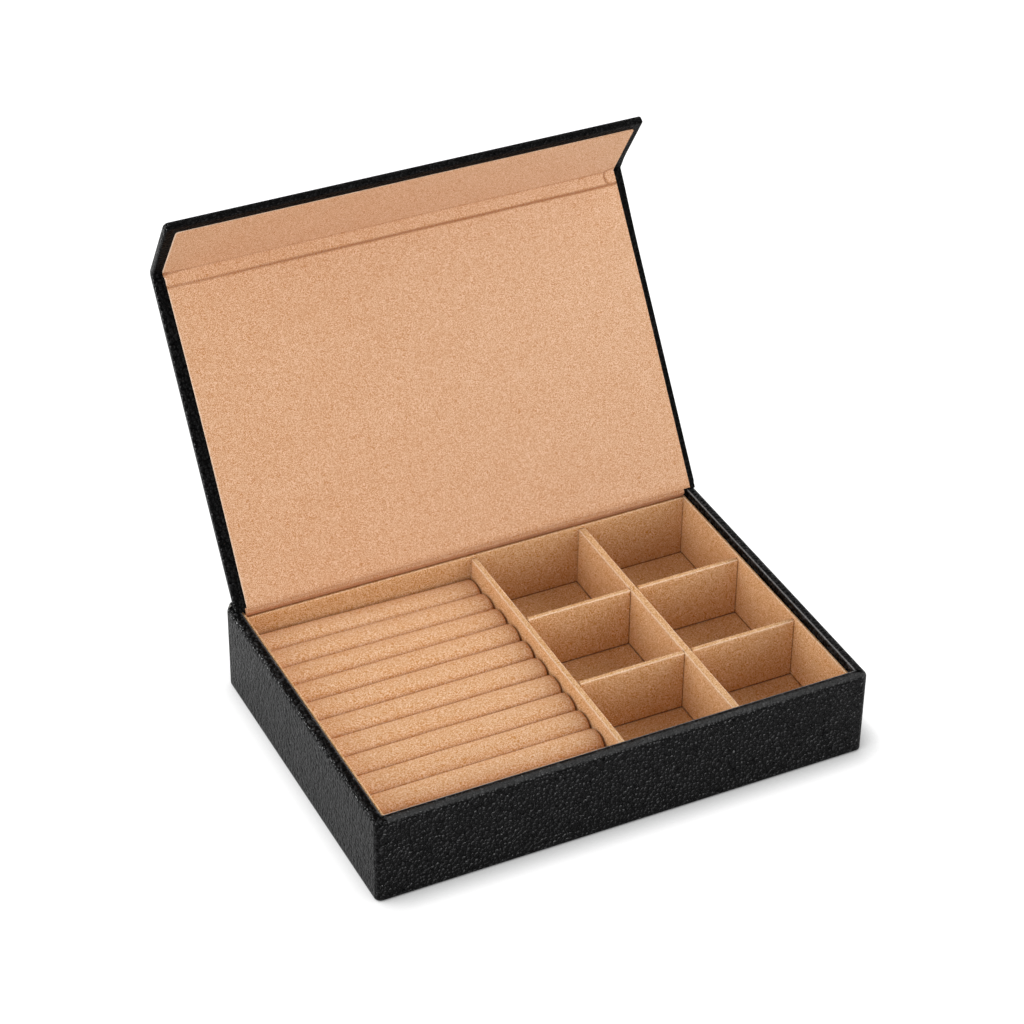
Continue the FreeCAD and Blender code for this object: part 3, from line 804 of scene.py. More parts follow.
        # Painted highlight along the rim's inner edge.
        share = self.left_highlight_share if on_left else 1.0
        edge = math.exp(-((inward + 0.62 * self.inner_round) ** 2 + (below - 0.08 * self.inner_round) ** 2)
                        / (0.3 * self.inner_round) ** 2)
        return -share * edge

    def build(self) -> None:
        """Make the skin."""
        rings = [self.ring(place) for place in self.stations()]
        piece = ring_mesh("tray_leather_skin", [rings], closed=True, sharp_deg=50)
        mark_seams(piece, self.painted_rim_highlight)
        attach(piece, Body.TRAY.value)
        dress(piece, self.wardrobe.leather, Slot.LEATHER, "tray_leather")


@dataclass
class SoftPanel:
    """Suede over one divider or wall card, a little soft and uneven."""

    wardrobe: Wardrobe
    node: str
    along_y: bool
    name: str
    breaks: Sequence[tuple[float, float]] = ()
    thickness: float = 0.7 * MM
    top_round: float = 0.8 * MM
    end_round: float = 0.9 * MM
    reach: float = 0.3 * MM
    wave: float = 0.16 * MM
    hollow: bool = True
    end_steps: Sequence[float] = (0.0, 0.15, 0.3, 0.42, 0.6, 0.8)
    # The next four set the painted shade near the floor and the ends, the painted highlight along the top folds,
    # and an even painted shade over the whole panel.
    foot_shade_height: float = 0.5 * MM
    end_shade_reach: float = 0.5 * MM
    fold_highlight: float = 0.75
    painted_panel_shade: float = 0.0
    lift: float = 0.0

    def __post_init__(self) -> None:
        """Read the panel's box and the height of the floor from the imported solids."""
        self.low, self.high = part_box(self.node)
        self.high = self.high + Vector((0, 0, self.lift))
        self.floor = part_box("floor_suede")[1].z
        run, cross = (1, 0) if self.along_y else (0, 1)
        self.start, self.end = self.low[run], self.high[run]
        self.centre = (self.low[cross] + self.high[cross]) / 2
        self.half = (self.high[cross] - self.low[cross]) / 2 - self.wave

    def section(self) -> Section:
        """The folded suede, as (across, height) points.

        Returns:
            The closed section.
        """
        low, high, half = self.low.z, self.high.z, self.half
        radius = min(self.top_round, half - 0.05 * MM)
        rise = [low, self.floor - 0.2 * MM, self.floor + 0.25 * MM, self.floor + self.foot_shade_height]
        rise += spread(rise[-1], high - radius, 2.5 * MM)[1:]
        outer = [(-half, z) for z in rise]
        outer += arc((-half + radius, high - radius), radius, 180, 90, 5)[1:]
        outer += arc((half - radius, high - radius), radius, 90, 0, 5)
        outer += [(half, z) for z in reversed(rise[:-1])]
        if not self.hollow:
            return outer
        inner_half = half - self.thickness
        inner = [(inner_half, z) for z in spread(low, high - self.thickness, 6.0 * MM)]
        inner += [(-inner_half, z) for z in spread(high - self.thickness, low, 6.0 * MM)]
        return outer + inner

    def soften(self, point: Vector, tuck: float) -> Vector:
        """Move a point a little, as suede over board does.

        Args:
            point: A point of the panel.
            tuck: How far the suede draws in here, near an end.

        Returns:
            The moved point.
        """
        up = max(0.0, (point.z - self.low.z) / (self.high.z - self.low.z))
        across = Vector((1, 0, 0)) if self.along_y else Vector((0, 1, 0))
        side = (point - across * self.centre).dot(across) / self.half
        point = point + across * (unevenness(point, 34, self.half / MM) * self.wave * up - side * tuck)
        point.z -= (0.5 + 0.5 * unevenness(point, 21, 3.1)) * self.wave * up
        return point

    def spans(self) -> Section:
        """The stretches between its ends and the pieces that cross it.

        Returns:
            The first and last place of each stretch.
        """
        stretches = []
        begin = self.start
        for gap_start, gap_end in self.breaks:
            stretches.append((begin, gap_start))
            begin = gap_end
        stretches.append((begin, self.end))
        return stretches

    def nap(self, point: Vector) -> float:
        """Painted light and shade on the suede: painted shade near the floor and the ends, and over a whole panel
        for some; a painted highlight along the top folds.

        Args:
            point: A point of the panel.

        Returns:
            From -1 (painted highlight) to 1 (painted shade).
        """
        place = point.y if self.along_y else point.x
        near = min(min(abs(place - first), abs(place - last)) for first, last in self.spans())
        # Painted shade near the floor and the ends, and a painted highlight along the top folds.
        foot = fade((point.z - self.floor) / self.foot_shade_height)
        end = fade(near / self.end_shade_reach)
        across = abs((point.x if self.along_y else point.y) - self.centre)
        beside = 1 - min(1.0, abs(across - self.half + 0.3 * self.top_round) / (0.45 * self.top_round))
        below = 1 - min(1.0, abs(point.z - self.high.z + 0.4 * self.top_round) / (0.9 * self.top_round))
        return max(self.painted_panel_shade, foot, end) - self.fold_highlight * max(0.0, beside) * max(0.0, below)

    def build(self) -> None:
        """Make the panel."""
        section = self.section()
        near = [n * MM for n in self.end_steps] + [self.end_round + self.reach]
        shells = []
        for first, last in self.spans():
            start, end = first - self.reach, last + self.reach
            stops = [start + n for n in near] + spread(start + near[-1], end - near[-1], 2.5 * MM)[1:-1]
            stops += [end - n for n in reversed(near)]
            rings = []
            for s in stops:
                edge = 1 - min(1.0, min(s - start, end - s) / self.end_round)
                tuck = 0.45 * self.end_round * rounding(edge)
                ring = []
                for across, height in section:
                    spot = Vector((self.centre + across, s, height)) if self.along_y else Vector(
                        (s, self.centre + across, height))
                    ring.append(self.soften(spot, tuck))
                rings.append(ring)
            shells.append(rings)
        piece = ring_mesh(self.name, shells)
        mark_seams(piece, self.nap)
        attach(piece, Body.TRAY.value)
        dress(piece, self.wardrobe.suede, Slot.SUEDE, self.node)


@dataclass
class Partitions:
    """The suede dividers, the lined walls and the padded floors between them."""

    wardrobe: Wardrobe
    floor_round: float = 0.8 * MM
    floor_crown: float = 0.25 * MM
    floor_reach: float = 0.25 * MM
    left_lift: float = 2.6 * MM
    bright_fold: float = 1.0
    front_shade: float = 0.14
    per_side: int = 14
    pad_steps: Sequence[float] = (1.3, 2.2, 4.0, 7.0, 11.0, 16.0, 21.0)
    edge_shade: float = 0.6 * MM

    def walls(self) -> None:
        """Make the divider sleeves and the faces of the four walls."""
        long_low, long_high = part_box("long_divider_suede")
        gap = (long_low.x, long_high.x)
        # A painted highlight along each top fold; an even painted shade over the cross sleeves and the rear wall
        # face.
        SoftPanel(self.wardrobe, "ring_divider_suede", True, "ring_divider_sleeve",
                  fold_highlight=self.bright_fold, painted_panel_shade=-0.2).build()
        SoftPanel(self.wardrobe, "long_divider_suede", True, "long_divider_sleeve",
                  fold_highlight=self.bright_fold, painted_panel_shade=-0.06).build()
        for place in ("rear", "front"):
            SoftPanel(self.wardrobe, f"{place}_cross_divider_suede", False,
                      f"{place}_cross_divider_sleeve", (gap,), fold_highlight=self.bright_fold,
                      painted_panel_shade=0.05).build()
        for place in ("left", "right", "front", "rear"):
            SoftPanel(self.wardrobe, f"{place}_liner", place in ("left", "right"), f"{place}_wall_face",
                      top_round=0.6 * MM, wave=0.05 * MM, reach=0.0, hollow=False,
                      fold_highlight=0.3 if place == "left" else 0.8,
                      painted_panel_shade=0.16 if place == "rear" else 0.0,
                      lift=self.left_lift if place == "left" else 0.0).build()

    def loop(self, low: Vector, high: Vector, inset: float, height: float) -> list[Vector]:
        """A rectangle inside a floor's outline.

        Args:
            low: Lower corner of the floor.
            high: Upper corner of the floor.
            inset: How far inside its edge.
            height: Height of the loop.

        Returns:
            The points, as many on each side.
        """
        x0, x1, y0, y1 = low.x + inset, high.x - inset, low.y + inset, high.y - inset
        corners = [(x0, y0), (x1, y0), (x1, y1), (x0, y1), (x0, y0)]
        points = []
        for (ax, ay), (bx, by) in zip(corners, corners[1:]):
            for i in range(self.per_side):
                share = i / self.per_side
                points.append(Vector((ax + (bx - ax) * share, ay + (by - ay) * share, height)))
        return points

    def pad(self, low: Vector, high: Vector) -> Rings:
        """One floor pad with a rounded edge and a slightly full middle.

        Args:
            low: Lower corner.
            high: Upper corner.

        Returns:
            Its loops, from the underside to the middle.
        """
        radius = self.floor_round
        loops = [self.loop(low, high, 0.0, low.z)]
        loops += [self.loop(low, high, x, z)
                  for x, z in arc((radius, high.z - radius), radius, 180, 90, 5)]
        middle = min(high.x - low.x, high.y - low.y) / 2
        for inset in self.pad_steps:
            share = inset * MM / middle
            if share < 1:
                rise = self.floor_crown * math.sin(math.pi / 2 * share)
                loops.append(self.loop(low, high, inset * MM, high.z + rise))
        return loops

    def floors(self) -> None:
        """Make a pad for each compartment and one under the rolls."""
        floor_low, floor_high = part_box("floor_suede")
        first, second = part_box("ring_divider_suede"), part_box("long_divider_suede")
        columns = [(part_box("left_liner")[1].x, first[0].x), (first[1].x, second[0].x),
                   (second[1].x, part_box("right_liner")[0].x)]
        front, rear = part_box("front_liner")[1].y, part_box("rear_liner")[0].y
        low_cross, high_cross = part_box("front_cross_divider_suede"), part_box("rear_cross_divider_suede")
        rows = [(front, low_cross[0].y), (low_cross[1].y, high_cross[0].y), (high_cross[1].y, rear)]
        self.outlines = []
        for number, (x0, x1) in enumerate(columns):
            for y0, y1 in (rows if number else [(front, rear)]):
                corner = Vector((x0 - self.floor_reach, y0 - self.floor_reach, floor_low.z))
                far = Vector((x1 + self.floor_reach, y1 + self.floor_reach, floor_high.z))
                self.outlines.append((corner, far))
        piece = ring_mesh("compartment_floors", [self.pad(low, high) for low, high in self.outlines])
        mark_seams(piece, self.painted_shade)
        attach(piece, Body.TRAY.value)
        dress(piece, self.wardrobe.suede, Slot.SUEDE, "floor_suede")

    def painted_shade(self, point: Vector) -> float:
        """How much painted shade lies near the edge of a floor and towards the front.

        Args:
            point: A point of the floors.

        Returns:
            The share, from 0 to 1.
        """
        across = max(min(point.x - low.x, high.x - point.x) for low, high in self.outlines)
        deep = max(min(point.y - low.y, high.y - point.y) for low, high in self.outlines)
        # Painted shade along the floor's edges and towards the front.
        side = 0.5 * fade((across - self.floor_reach) / self.edge_shade)
        nearest = min(low.y for low, _ in self.outlines)
        furthest = max(high.y for _, high in self.outlines)
        shade = self.front_shade * fade((point.y - nearest) / (furthest - nearest))
        return max(side, shade, fade((deep - self.floor_reach) / self.edge_shade))

    def build(self) -> None:
        """Make the walls and the floors."""
        self.walls()
        self.floors()


@dataclass
class RingRolls:
    """Padded rolls that grip rings in the slits between them."""

    wardrobe: Wardrobe
    end_round: float = 2.0 * MM
    end_droop: Sequence[float] = (2.6, 1.5, 0.8)
    end_steps: Sequence[float] = (0.0, 0.12, 0.35, 0.7, 1.15, 1.7)
    left_droop: float = 0.28
    slit_wave: float = 0.22 * MM
    crown_wave: float = 0.22 * MM
    crown_drop: float = 5.6 * MM
    crown_square: float = 0.86
    # Painted shade in the slits, at each roll's end against the divider, and fading in from that end.
    slit_mark: float = 0.45
    tip_mark: float = 0.45
    end_mark: float = 0.2
    end_shade: float = 4.0 * MM
    around: int = 30

    def section(self, half: float, low: float, high: float) -> Section:
        """One roll's section, as (across, height) points.

        Args:
            half: Half the roll's width.
            low: Its underside.
            high: Its crown.

        Returns:
            The closed section.
        """
        shoulder = high - self.crown_drop
        crown = arc((0.0, 0.0), 1.0, 180, 0, self.around)
        points = []
        for x, y in crown:
            across = half * math.copysign(abs(x) ** self.crown_square, x)
            points.append((across, shoulder + self.crown_drop * max(0.0, y) ** self.crown_square))
        points += [(half, z) for z in spread(shoulder, low, 2.4 * MM)[1:]]
        points += [(x, low) for x in spread(half, -half, 3.0 * MM)[1:]]
        points += [(-half, z) for z in spread(low, shoulder, 2.4 * MM)[1:-1]]
        return points

    def roll(self, number: int) -> None:
        """Make one roll.

        Args:
            number: Its number, counted from the rear.
        """
        node = f"ring_roll_{number:02d}"
        low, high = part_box(node)
        half = (high.y - low.y) / 2
        centre = (high.y + low.y) / 2
        droop = self.end_droop[number - 1] * MM if number <= len(self.end_droop) else 0.0
        section = self.section(half, low.z, high.z)
        left = [low.x + s * MM for s in self.end_steps]
        right = [high.x - s * MM for s in reversed(self.end_steps)]
        stops = left + spread(left[-1], right[0], 1.8 * MM)[1:-1] + right
        rings = []
        for x in stops:
            tuck = rounding(max(0.0, 1 - (high.x - x) / self.end_round))
            tuck_left = max(0.0, 1 - (x - low.x) / (0.6 * self.end_round))
            shrink = self.end_round * max(tuck, 0.5 * rounding(tuck_left))
            share = (x - low.x) / (high.x - low.x)
            sink = droop * (self.left_droop + (1 - self.left_droop) * smoothstep(share))
            ring = []
            for across, height in section:
                up = (height - low.z) / (high.z - low.z)
                side = across / half
                spot = Vector((x, centre + across, height))
                shift = unevenness(Vector((x, centre + math.copysign(half, side), 0)), 26, 9.0)
                spot.y += shift * self.slit_wave * abs(side) * up
                spot.y -= side * shrink * up
                spot.z -= (shrink + sink) * up * up
                spot.z -= self.crown_wave * (0.5 + 0.5 * unevenness(spot, 19, number * 1.7)) * up
                ring.append(spot)
            rings.append(ring)
        piece = ring_mesh(f"{node}_cover", [rings])
        mark_seams(piece, lambda point: self.painted_shade(point, centre, half, high.x))
        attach(piece, Body.TRAY.value)
        dress(piece, self.wardrobe.roll, Slot.ROLL, node)

    def painted_shade(self, point: Vector, centre: float, half: float, end: float) -> float:
        """How much painted shade lies in the slits and at the divider end.

        Args:
            point: A point of the roll.
            centre: Its middle, front to rear.
            half: Half its width.
            end: Where it meets the divider.

        Returns:
            The share, from 0 to 1.
        """
        slit = self.slit_mark * smoothstep((abs(point.y - centre) / half - 0.92) / 0.08)
        away = end - point.x
        tip = self.tip_mark * fade((away - 0.2 * MM) / (0.8 * MM))
        return max(slit, tip, self.end_mark * fade(away / self.end_shade))

    def build(self) -> None:
        """Make every roll, from the rear."""
        for number in range(1, 1 + sum(name.startswith("ring_roll_") for name in frame["nodes"])):
            self.roll(number)


# ---------------------------------------------------------------- lid and flap


@dataclass
class PanelPath:
    """The line that the suede face follows up the lid and along the flap."""

    channel: float = 6.3 * MM

    def __post_init__(self) -> None:
        """Read the hinge, the fold and the lean of the lid from the joints."""
        joints = {joint["name"]: joint for joint in frame["joints"]}
        self.fold = Vector(joints["flap_hinge"]["pos_m"])
        lean = math.radians(joints["lid_hinge"]["range_deg"][1])
        shut_turn = math.radians(joints["flap_hinge"]["range_deg"][1])
        self.bend = math.radians(-joints["flap_hinge"]["range_deg"][0])
        self.up_lid = Vector((0.0, -math.cos(lean), math.sin(lean)))
        self.lid_out = Vector((0.0, math.sin(lean), math.cos(lean)))
        turned = lean + shut_turn
        self.up_flap = Vector((0.0, -math.sin(turned), -math.cos(turned)))
        self.flap_out = Vector((0.0, -math.cos(turned), math.sin(turned)))

    def on_lid(self, x: float, along: float, depth: float) -> Vector:
        """A point of the lid: along is below 0 under the fold, depth is outwards from the suede face."""
        return self.fold + self.up_lid * along + self.lid_out * depth + Vector((x, 0, 0))

    def on_flap(self, x: float, along: float, depth: float) -> Vector:
        """A point of the flap: along runs from the fold to its free edge, depth is outwards from the face."""
        return self.fold + self.up_flap * along + self.flap_out * depth + Vector((x, 0, 0))

    def at_fold(self, x: float, share: float, depth: float) -> Vector:
        """A point of the fold about its crease: share is 0 at the lid and 1 at the flap."""
        turn = Matrix.Rotation(-self.bend * share * self.side(), 3, "X")
        return self.fold + turn @ (self.lid_out * depth) + Vector((x, 0, 0))

    def side(self) -> float:
        """Sign of the turn that takes the lid's outside to the flap's."""
        return 1.0 if self.lid_out.cross(self.flap_out).x < 0 else -1.0


@dataclass
class LidCover:
    """One sheet of leather over the lid, round the fold and over the flap."""

    wardrobe: Wardrobe
    path: PanelPath
    inner: float = 0.5 * MM
    edge_round: float = 1.0 * MM
    left_corner: float = 3.2 * MM
    right_corner: float = 1.3 * MM
    skin: float = 0.9 * MM
    bulge: float = 0.85 * MM
    bulge_rest: float = 0.25 * MM
    bulge_width: float = 4.0 * MM
    bulge_on_lid: float = 22.0 * MM
    bulge_on_flap: float = 6.0 * MM
    border_dullness: float = 0.55
    face_band: float = 0.25 * MM
    edge_slimming: float = 0.92

    def __post_init__(self) -> None:
        """Read the panel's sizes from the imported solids."""
        low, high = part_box("lid_leather")
        self.left, self.right = low.x, high.x
        self.foot = low.z
        self.corner = max(self.left_corner, self.right_corner)
        corners = [Vector(v.co) for v in frame["nodes"]["flap_leather"].data.vertices]
        self.length = max((c - self.path.fold).dot(self.path.up_flap) for c in corners)
        self.outer = max((c - self.path.fold).dot(self.path.flap_out) for c in corners)

    def section(self, margin: float, inner: float, outer: float, radius: float) -> Section:
        """A rounded bar across the panel, as (x, depth) points.

        Args:
            margin: How far it stays inside the panel's sides.
            inner: Depth of its inner face.
            outer: Depth of its outer face.
            radius: Rounding of its four edges.

        Returns:
            The closed section.
        """
        radius = min(radius, (outer - inner) / 2 - 0.02 * MM)
        left, right = self.left + margin + radius, self.right - margin - radius
        xs = spread(left, right, 9.0 * MM)
        points = [(x, inner) for x in xs]
        points += arc((right, inner + radius), radius, -90, 0, 5)[1:]
        points += arc((right, outer - radius), radius, 0, 90, 5)
        points += [(x, outer) for x in reversed(xs[:-1])]
        points += arc((left, outer - radius), radius, 90, 180, 5)[1:]
        points += arc((left, inner + radius), radius, 180, 270, 5)[:-1]
        return points

    def bulged(self, x: float, along: float) -> float:
        """Let the right edge stand out a little where the leather turns at the fold.

        Args:
            x: Place across the panel.
            along: Distance from the fold, less than 0 on the lid.

        Returns:
            The moved x.
        """
        if x < self.right - self.bulge_width:
            return x
        near = along / (self.bulge_on_lid if along < 0 else self.bulge_on_flap)
        rest = self.bulge_rest if along < 0 else 0.0
        return x + rest + (self.bulge - rest) * math.exp(-near * near)

    def foot_along(self, depth: float, height: float) -> float:
        """Distance from the fold at which a layer of the lid, at this depth, meets a level height."""
        start = self.path.fold + self.path.lid_out * depth
        return (height - start.z) / self.path.up_lid.z

    def lid_rings(self, section: Section, foot: float, end: float) -> Rings:
        """Sections up the lid, the first ones cut level at the foot.

        Args:
            section: The section of the panel.
            foot: Height of the level foot.
            end: Where the last section lies, from the fold.

        Returns:
            The rings.
        """
        rings = []
        start = max(self.foot_along(depth, foot) for _, depth in section) + 1.0 * MM
        for share in (0.0, 0.35, 0.7):
            ring = []
            for x, depth in section:
                cut = self.foot_along(depth, foot)
                along = cut + (start - cut) * share
                ring.append(self.path.on_lid(x, along, depth))
            rings.append(ring)
        for along in spread(start, end, 6.0 * MM):
            rings.append([self.path.on_lid(self.bulged(x, along), along, depth) for x, depth in section])
        return rings

    def outside(self) -> Rings:
        """The outer surface from the foot of the lid to the flap's free edge.

        Returns:
            The rings.
        """
        section = self.section(0.0, self.inner, self.outer, self.edge_round)
        middle_x = (self.left + self.right) / 2
        half = (self.right - self.left) / 2
        rings = self.lid_rings(section, self.foot, -0.3 * MM)
        for i in range(13):
            rings.append([self.path.at_fold(self.bulged(x, 0.0), i / 12, depth) for x, depth in section])
        straight = self.length - self.corner
        for along in spread(0.3 * MM, straight, 3.0 * MM):
            rings.append([self.path.on_flap(self.bulged(x, along), along, depth) for x, depth in section])
        middle = (self.inner + self.outer) / 2
        for i in range(1, 19):
            along = straight + self.corner * math.sin(math.radians(90 * i / 18))
            near = max(0.0, along - (self.length - self.edge_round)) / self.edge_round
            slim = 1 - self.edge_slimming * rounding(near)
            ring = []
            for x, depth in section:
                radius = self.left_corner if x < middle_x else self.right_corner
                rise = min(1.0, max(0.0, along - (self.length - radius)) / radius)
                inset = radius * rounding(rise)
                across = middle_x + (x - middle_x) * (half - inset) / half
                ring.append(self.path.on_flap(across, along, middle + (depth - middle) * slim))
            rings.append(ring)
        return rings

    def cavity(self, start: float, end: float, on_flap: bool) -> Rings:
        """The room for the board inside the lid or the flap.

        Args:
            start: Height of the level foot on the lid, or distance from the fold on the flap.
            end: Last distance from the fold.
            on_flap: Whether it is in the flap.

        Returns:
            The rings.
        """
        section = self.section(self.skin, self.inner + self.skin, self.outer - self.skin, 0.2 * MM)
        if on_flap:
            return [[self.path.on_flap(x, along, depth) for x, depth in section]
                    for along in (start, end)]
        return self.lid_rings(section, start, end)

    def dulled(self, point: Vector) -> float:
        """How dull the leather is: it is on the borders round the suede.

        Args:
            point: A point of the cover.

        Returns:
            The share, from 0 to 1.
        """
        from_fold = point - self.path.fold
        out = self.path.lid_out if from_fold.dot(self.path.up_lid) < 0 else self.path.flap_out
        return self.border_dullness if from_fold.dot(out) < self.inner + self.face_band else 0.0

    def build(self) -> None:
        """Make the cover."""
        shells = [self.outside(),
                  self.cavity(self.foot + self.skin, -self.path.channel, False),
                  self.cavity(1.5 * MM, self.length - self.corner, True)]
        piece = ring_mesh("lid_and_flap_cover", shells, sharp_deg=40)
        mark_seams(piece, self.dulled)
        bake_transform(piece)
        dress(piece, self.wardrobe.lid_leather, Slot.LEATHER, "lid_leather", "fold_leather", "flap_leather")


@dataclass
class LidLining:
    """One sheet of suede inside the lid and flap, creased at both folds."""

    wardrobe: Wardrobe
    path: PanelPath
    cover: LidCover
    edge_round: float = 0.3 * MM
    crease_depth: float = 0.42 * MM
    crease_width: float = 0.45 * MM
    swell: float = 0.12 * MM
    side_bow: float = 0.5 * MM
    corner: float = 1.6 * MM
    sunk: float = 0.25 * MM
    foot_shade: float = 3.0 * MM
    # A short pucker at the right of the fold: dented, with painted shade.
    pucker: Sequence[tuple[float, float]] = ((4.8, -6.3), (5.9, -4.4), (6.3, -2.2), (6.0, -0.5),
                                             (4.4, 0.8), (1.6, 2.2))
    pucker_reach: float = 7.8 * MM
    pucker_clear: float = 5.4 * MM
    pucker_fade: float = 1.2 * MM
    wander: float = 0.2 * MM
    # Painted shade in the fold crease, strongest at its left end.
    fold_mark: float = 0.3
    fold_end_mark: float = 0.75
    fold_end: float = 0.035
    # A small hole at the fold's left end: dented, with painted shade.
    hole_in: float = 0.4 * MM
    hole_size: float = 1.0 * MM
    turn_over: float = 3.0 * MM
    # Lighter towards the right of the lid and the flap.
    lid_lightening: float = 0.1
    flap_lightening: tuple[float, float] = (0.03, 0.16)
    # Painted highlight along the left edge.
    left_edge_highlight: float = 0.7
    wide_columns: int = 72
    near_columns: int = 28

    def __post_init__(self) -> None:
        """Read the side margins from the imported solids."""
        self.lid_left, self.lid_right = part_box("lid_lining")[0].x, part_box("lid_lining")[1].x
        self.flap_left, self.flap_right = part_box("flap_lining")[0].x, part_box("flap_lining")[1].x
        corners = [Vector(v.co) - self.path.fold for v in frame["nodes"]["flap_lining"].data.vertices]
        face = [c for c in corners if abs(c.dot(self.path.flap_out)) < 0.1 * MM]
        self.tip = max(c.dot(self.path.up_flap) for c in face)
        self.foot = self.cover.foot_along(0.0, self.cover.foot + self.cover.skin)

    def sides(self, along: float) -> tuple[float, float]:
        """Left and right edges of the sheet.

        Args:
            along: Distance from the fold, less than 0 on the lid.

        Returns:
            Left and right x.
        """
        share = smoothstep((along + self.turn_over) / (2 * self.turn_over))
        left = self.lid_left + (self.flap_left - self.lid_left) * share
        right = self.lid_right + (self.flap_right - self.lid_right) * share
        up = clamped(1 - along / self.foot)
        left += self.side_bow * (math.sin(math.pi * up) - 0.4) * (1 - share)
        left += self.side_bow * (2 * clamped(along / self.tip) - 1) * share
        right -= self.side_bow * smoothstep(2 * up - 1) * (1 - share)
        inset = 0.0
        if along > self.tip - self.corner:
            rise = min(1.0, (along - (self.tip - self.corner)) / self.corner)
            inset = self.corner * rounding(rise)
        return left + inset, right - inset

    def creases(self, x: float, along: float) -> float:
        """How much of a crease lies at a place, from 0 to 1.

        Args:
            x: Place across the sheet.
            along: Distance from the fold.

        Returns:
            The share.
        """
        share = (x - self.lid_left) / (self.lid_right - self.lid_left)
        wander = self.wander * unevenness(Vector((x, 0.0, 0.0)), 30, 2.0)
        board_edge = (along + self.path.channel - wander) / (1.5 * self.crease_width)
        fold = (along - 0.6 * wander) / (0.8 * self.crease_width)
        inside = smoothstep((self.lid_right - x - self.pucker_clear) / self.pucker_fade)
        fold_share = self.fold_mark * inside + self.fold_end_mark * math.exp(-(share / self.fold_end) ** 2)
        # The small hole at the fold's left end.
        left_edge_mark = math.hypot(x - self.flap_left - self.hole_in, along) / self.hole_size
        return max((0.7 + 0.3 * smoothstep(3 * share)) * math.exp(-board_edge ** 2),
                   fold_share * math.exp(-fold ** 2), self.puckered(x, along), math.exp(-left_edge_mark ** 2))

    def puckered(self, x: float, along: float) -> float:
        """How much of the short pucker at the right of the fold lies at a place.

        Args:
            x: Place across the sheet.
            along: Distance from the fold.

        Returns:
            The share, from 0 to 1.
        """
        spot = Vector((self.lid_right - x, along))
        if spot.x > self.pucker_reach:
            return 0.0
        knots = [Vector(knot) * MM for knot in self.pucker]
        most = 0.0
        for number, (first, second) in enumerate(zip(knots, knots[1:])):
            run = second - first
            part = clamped((spot - first).dot(run) / run.length_squared)
            gap = (spot - first - run * part).length / (1.1 * self.crease_width)
            depth = 1.0 - 0.35 * (number + part) / (len(knots) - 1)
            most = max(most, depth * math.exp(-gap * gap))
        return most

    def relief(self, x: float, along: float) -> float:
        """How far the suede lies back from its plane at x and along, a distance from the fold."""
        depth = self.swell * (0.5 + 0.5 * unevenness(Vector((x, along, 0.0)), 48, 4.0))
        return depth + self.crease_depth * self.creases(x, along)

    def nap(self, point: Vector) -> float:
        """Painted light and shade on the lining: painted shade in the creases and near the lid's foot, lighter
        towards the right, and a painted highlight along the left edge.

        Args:
            point: A point of the sheet.

        Returns:
            From -1 (painted highlight) to 1 (painted shade).
        """
        from_fold = point - self.path.fold
        along = from_fold.dot(self.path.up_lid)
        if along > 0:
            along = from_fold.dot(self.path.up_flap)
        left, right = self.sides(along)
        # Painted shade near the lid's foot.
        foot = 0.2 * fade((along - self.foot) / self.foot_shade)
        across = (point.x - left) / (right - left)
        # Lighter towards the right.
        if along > 0:
            brushed = self.flap_lightening[0] + (self.flap_lightening[1] - self.flap_lightening[0]) * across
        else:
            brushed = self.lid_lightening * smoothstep(across) * (1 - 0.5 * along / self.foot)
        # Painted highlight along the left edge.
        left_edge_mark = self.left_edge_highlight * fade((point.x - left - 0.1 * MM) / (0.5 * MM))
        # Painted shade in the creases and near the foot.
        painted_shade = max(foot, 0.75 * self.creases(point.x, along))
        return painted_shade if painted_shade > 0.08 else painted_shade - max(brushed, left_edge_mark)

    def ring(self, along: float, place: Callable[[float, float, float], Vector]) -> list[Vector]:
        """One section of the sheet.

        Args:
            along: Distance from the fold.
            place: Gives a point for (x, along, depth).

        Returns:
            The loop of points.
        """
        left, right = self.sides(along)
        radius = self.edge_round
        back = self.cover.inner + self.sunk
        turn = right - self.pucker_reach
        columns = [left + radius] + even(left + radius + 0.4 * MM, turn, self.wide_columns)
        columns += even(turn, right - radius, self.near_columns)[1:]
        points = [(x, self.relief(x, along)) for x in columns]
        points += [(right - radius * 0.3, radius * 0.35), (right, radius), (right, back)]
        points += [(float(x), back) for x in np.linspace(right - radius, left + radius, 7)]
        points += [(left, back), (left, radius), (left + radius * 0.3, radius * 0.35)]
        return [place(x, along, depth) for x, depth in points]

    def build(self) -> None:
        """Make the lining."""
        stops = spread(self.foot, -self.path.channel - 2.0 * MM, 2.6 * MM)
        stops += spread(stops[-1], -0.25 * MM, 0.25 * MM)[1:]
        rings = [self.ring(along, self.path.on_lid) for along in stops]
        rings += [self.ring(0.0, lambda x, _, depth, s=share: self.path.at_fold(x, s, depth))
                  for share in (0.25, 0.5, 0.75)]
        straight = self.tip - self.corner
        stops = spread(0.25 * MM, 3.0 * MM, 0.3 * MM)
        stops += spread(3.0 * MM, straight, 2.4 * MM)[1:]
        stops += [straight + self.corner * math.sin(math.radians(90 * i / 8)) for i in range(1, 9)]
        rings += [self.ring(along, self.path.on_flap) for along in stops]
        piece = ring_mesh("lid_and_flap_lining", [rings], sharp_deg=50)
        mark_seams(piece, self.nap)
        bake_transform(piece)
        dress(piece, self.wardrobe.lining, Slot.SUEDE, "lid_lining", "fold_suede", "flap_lining")


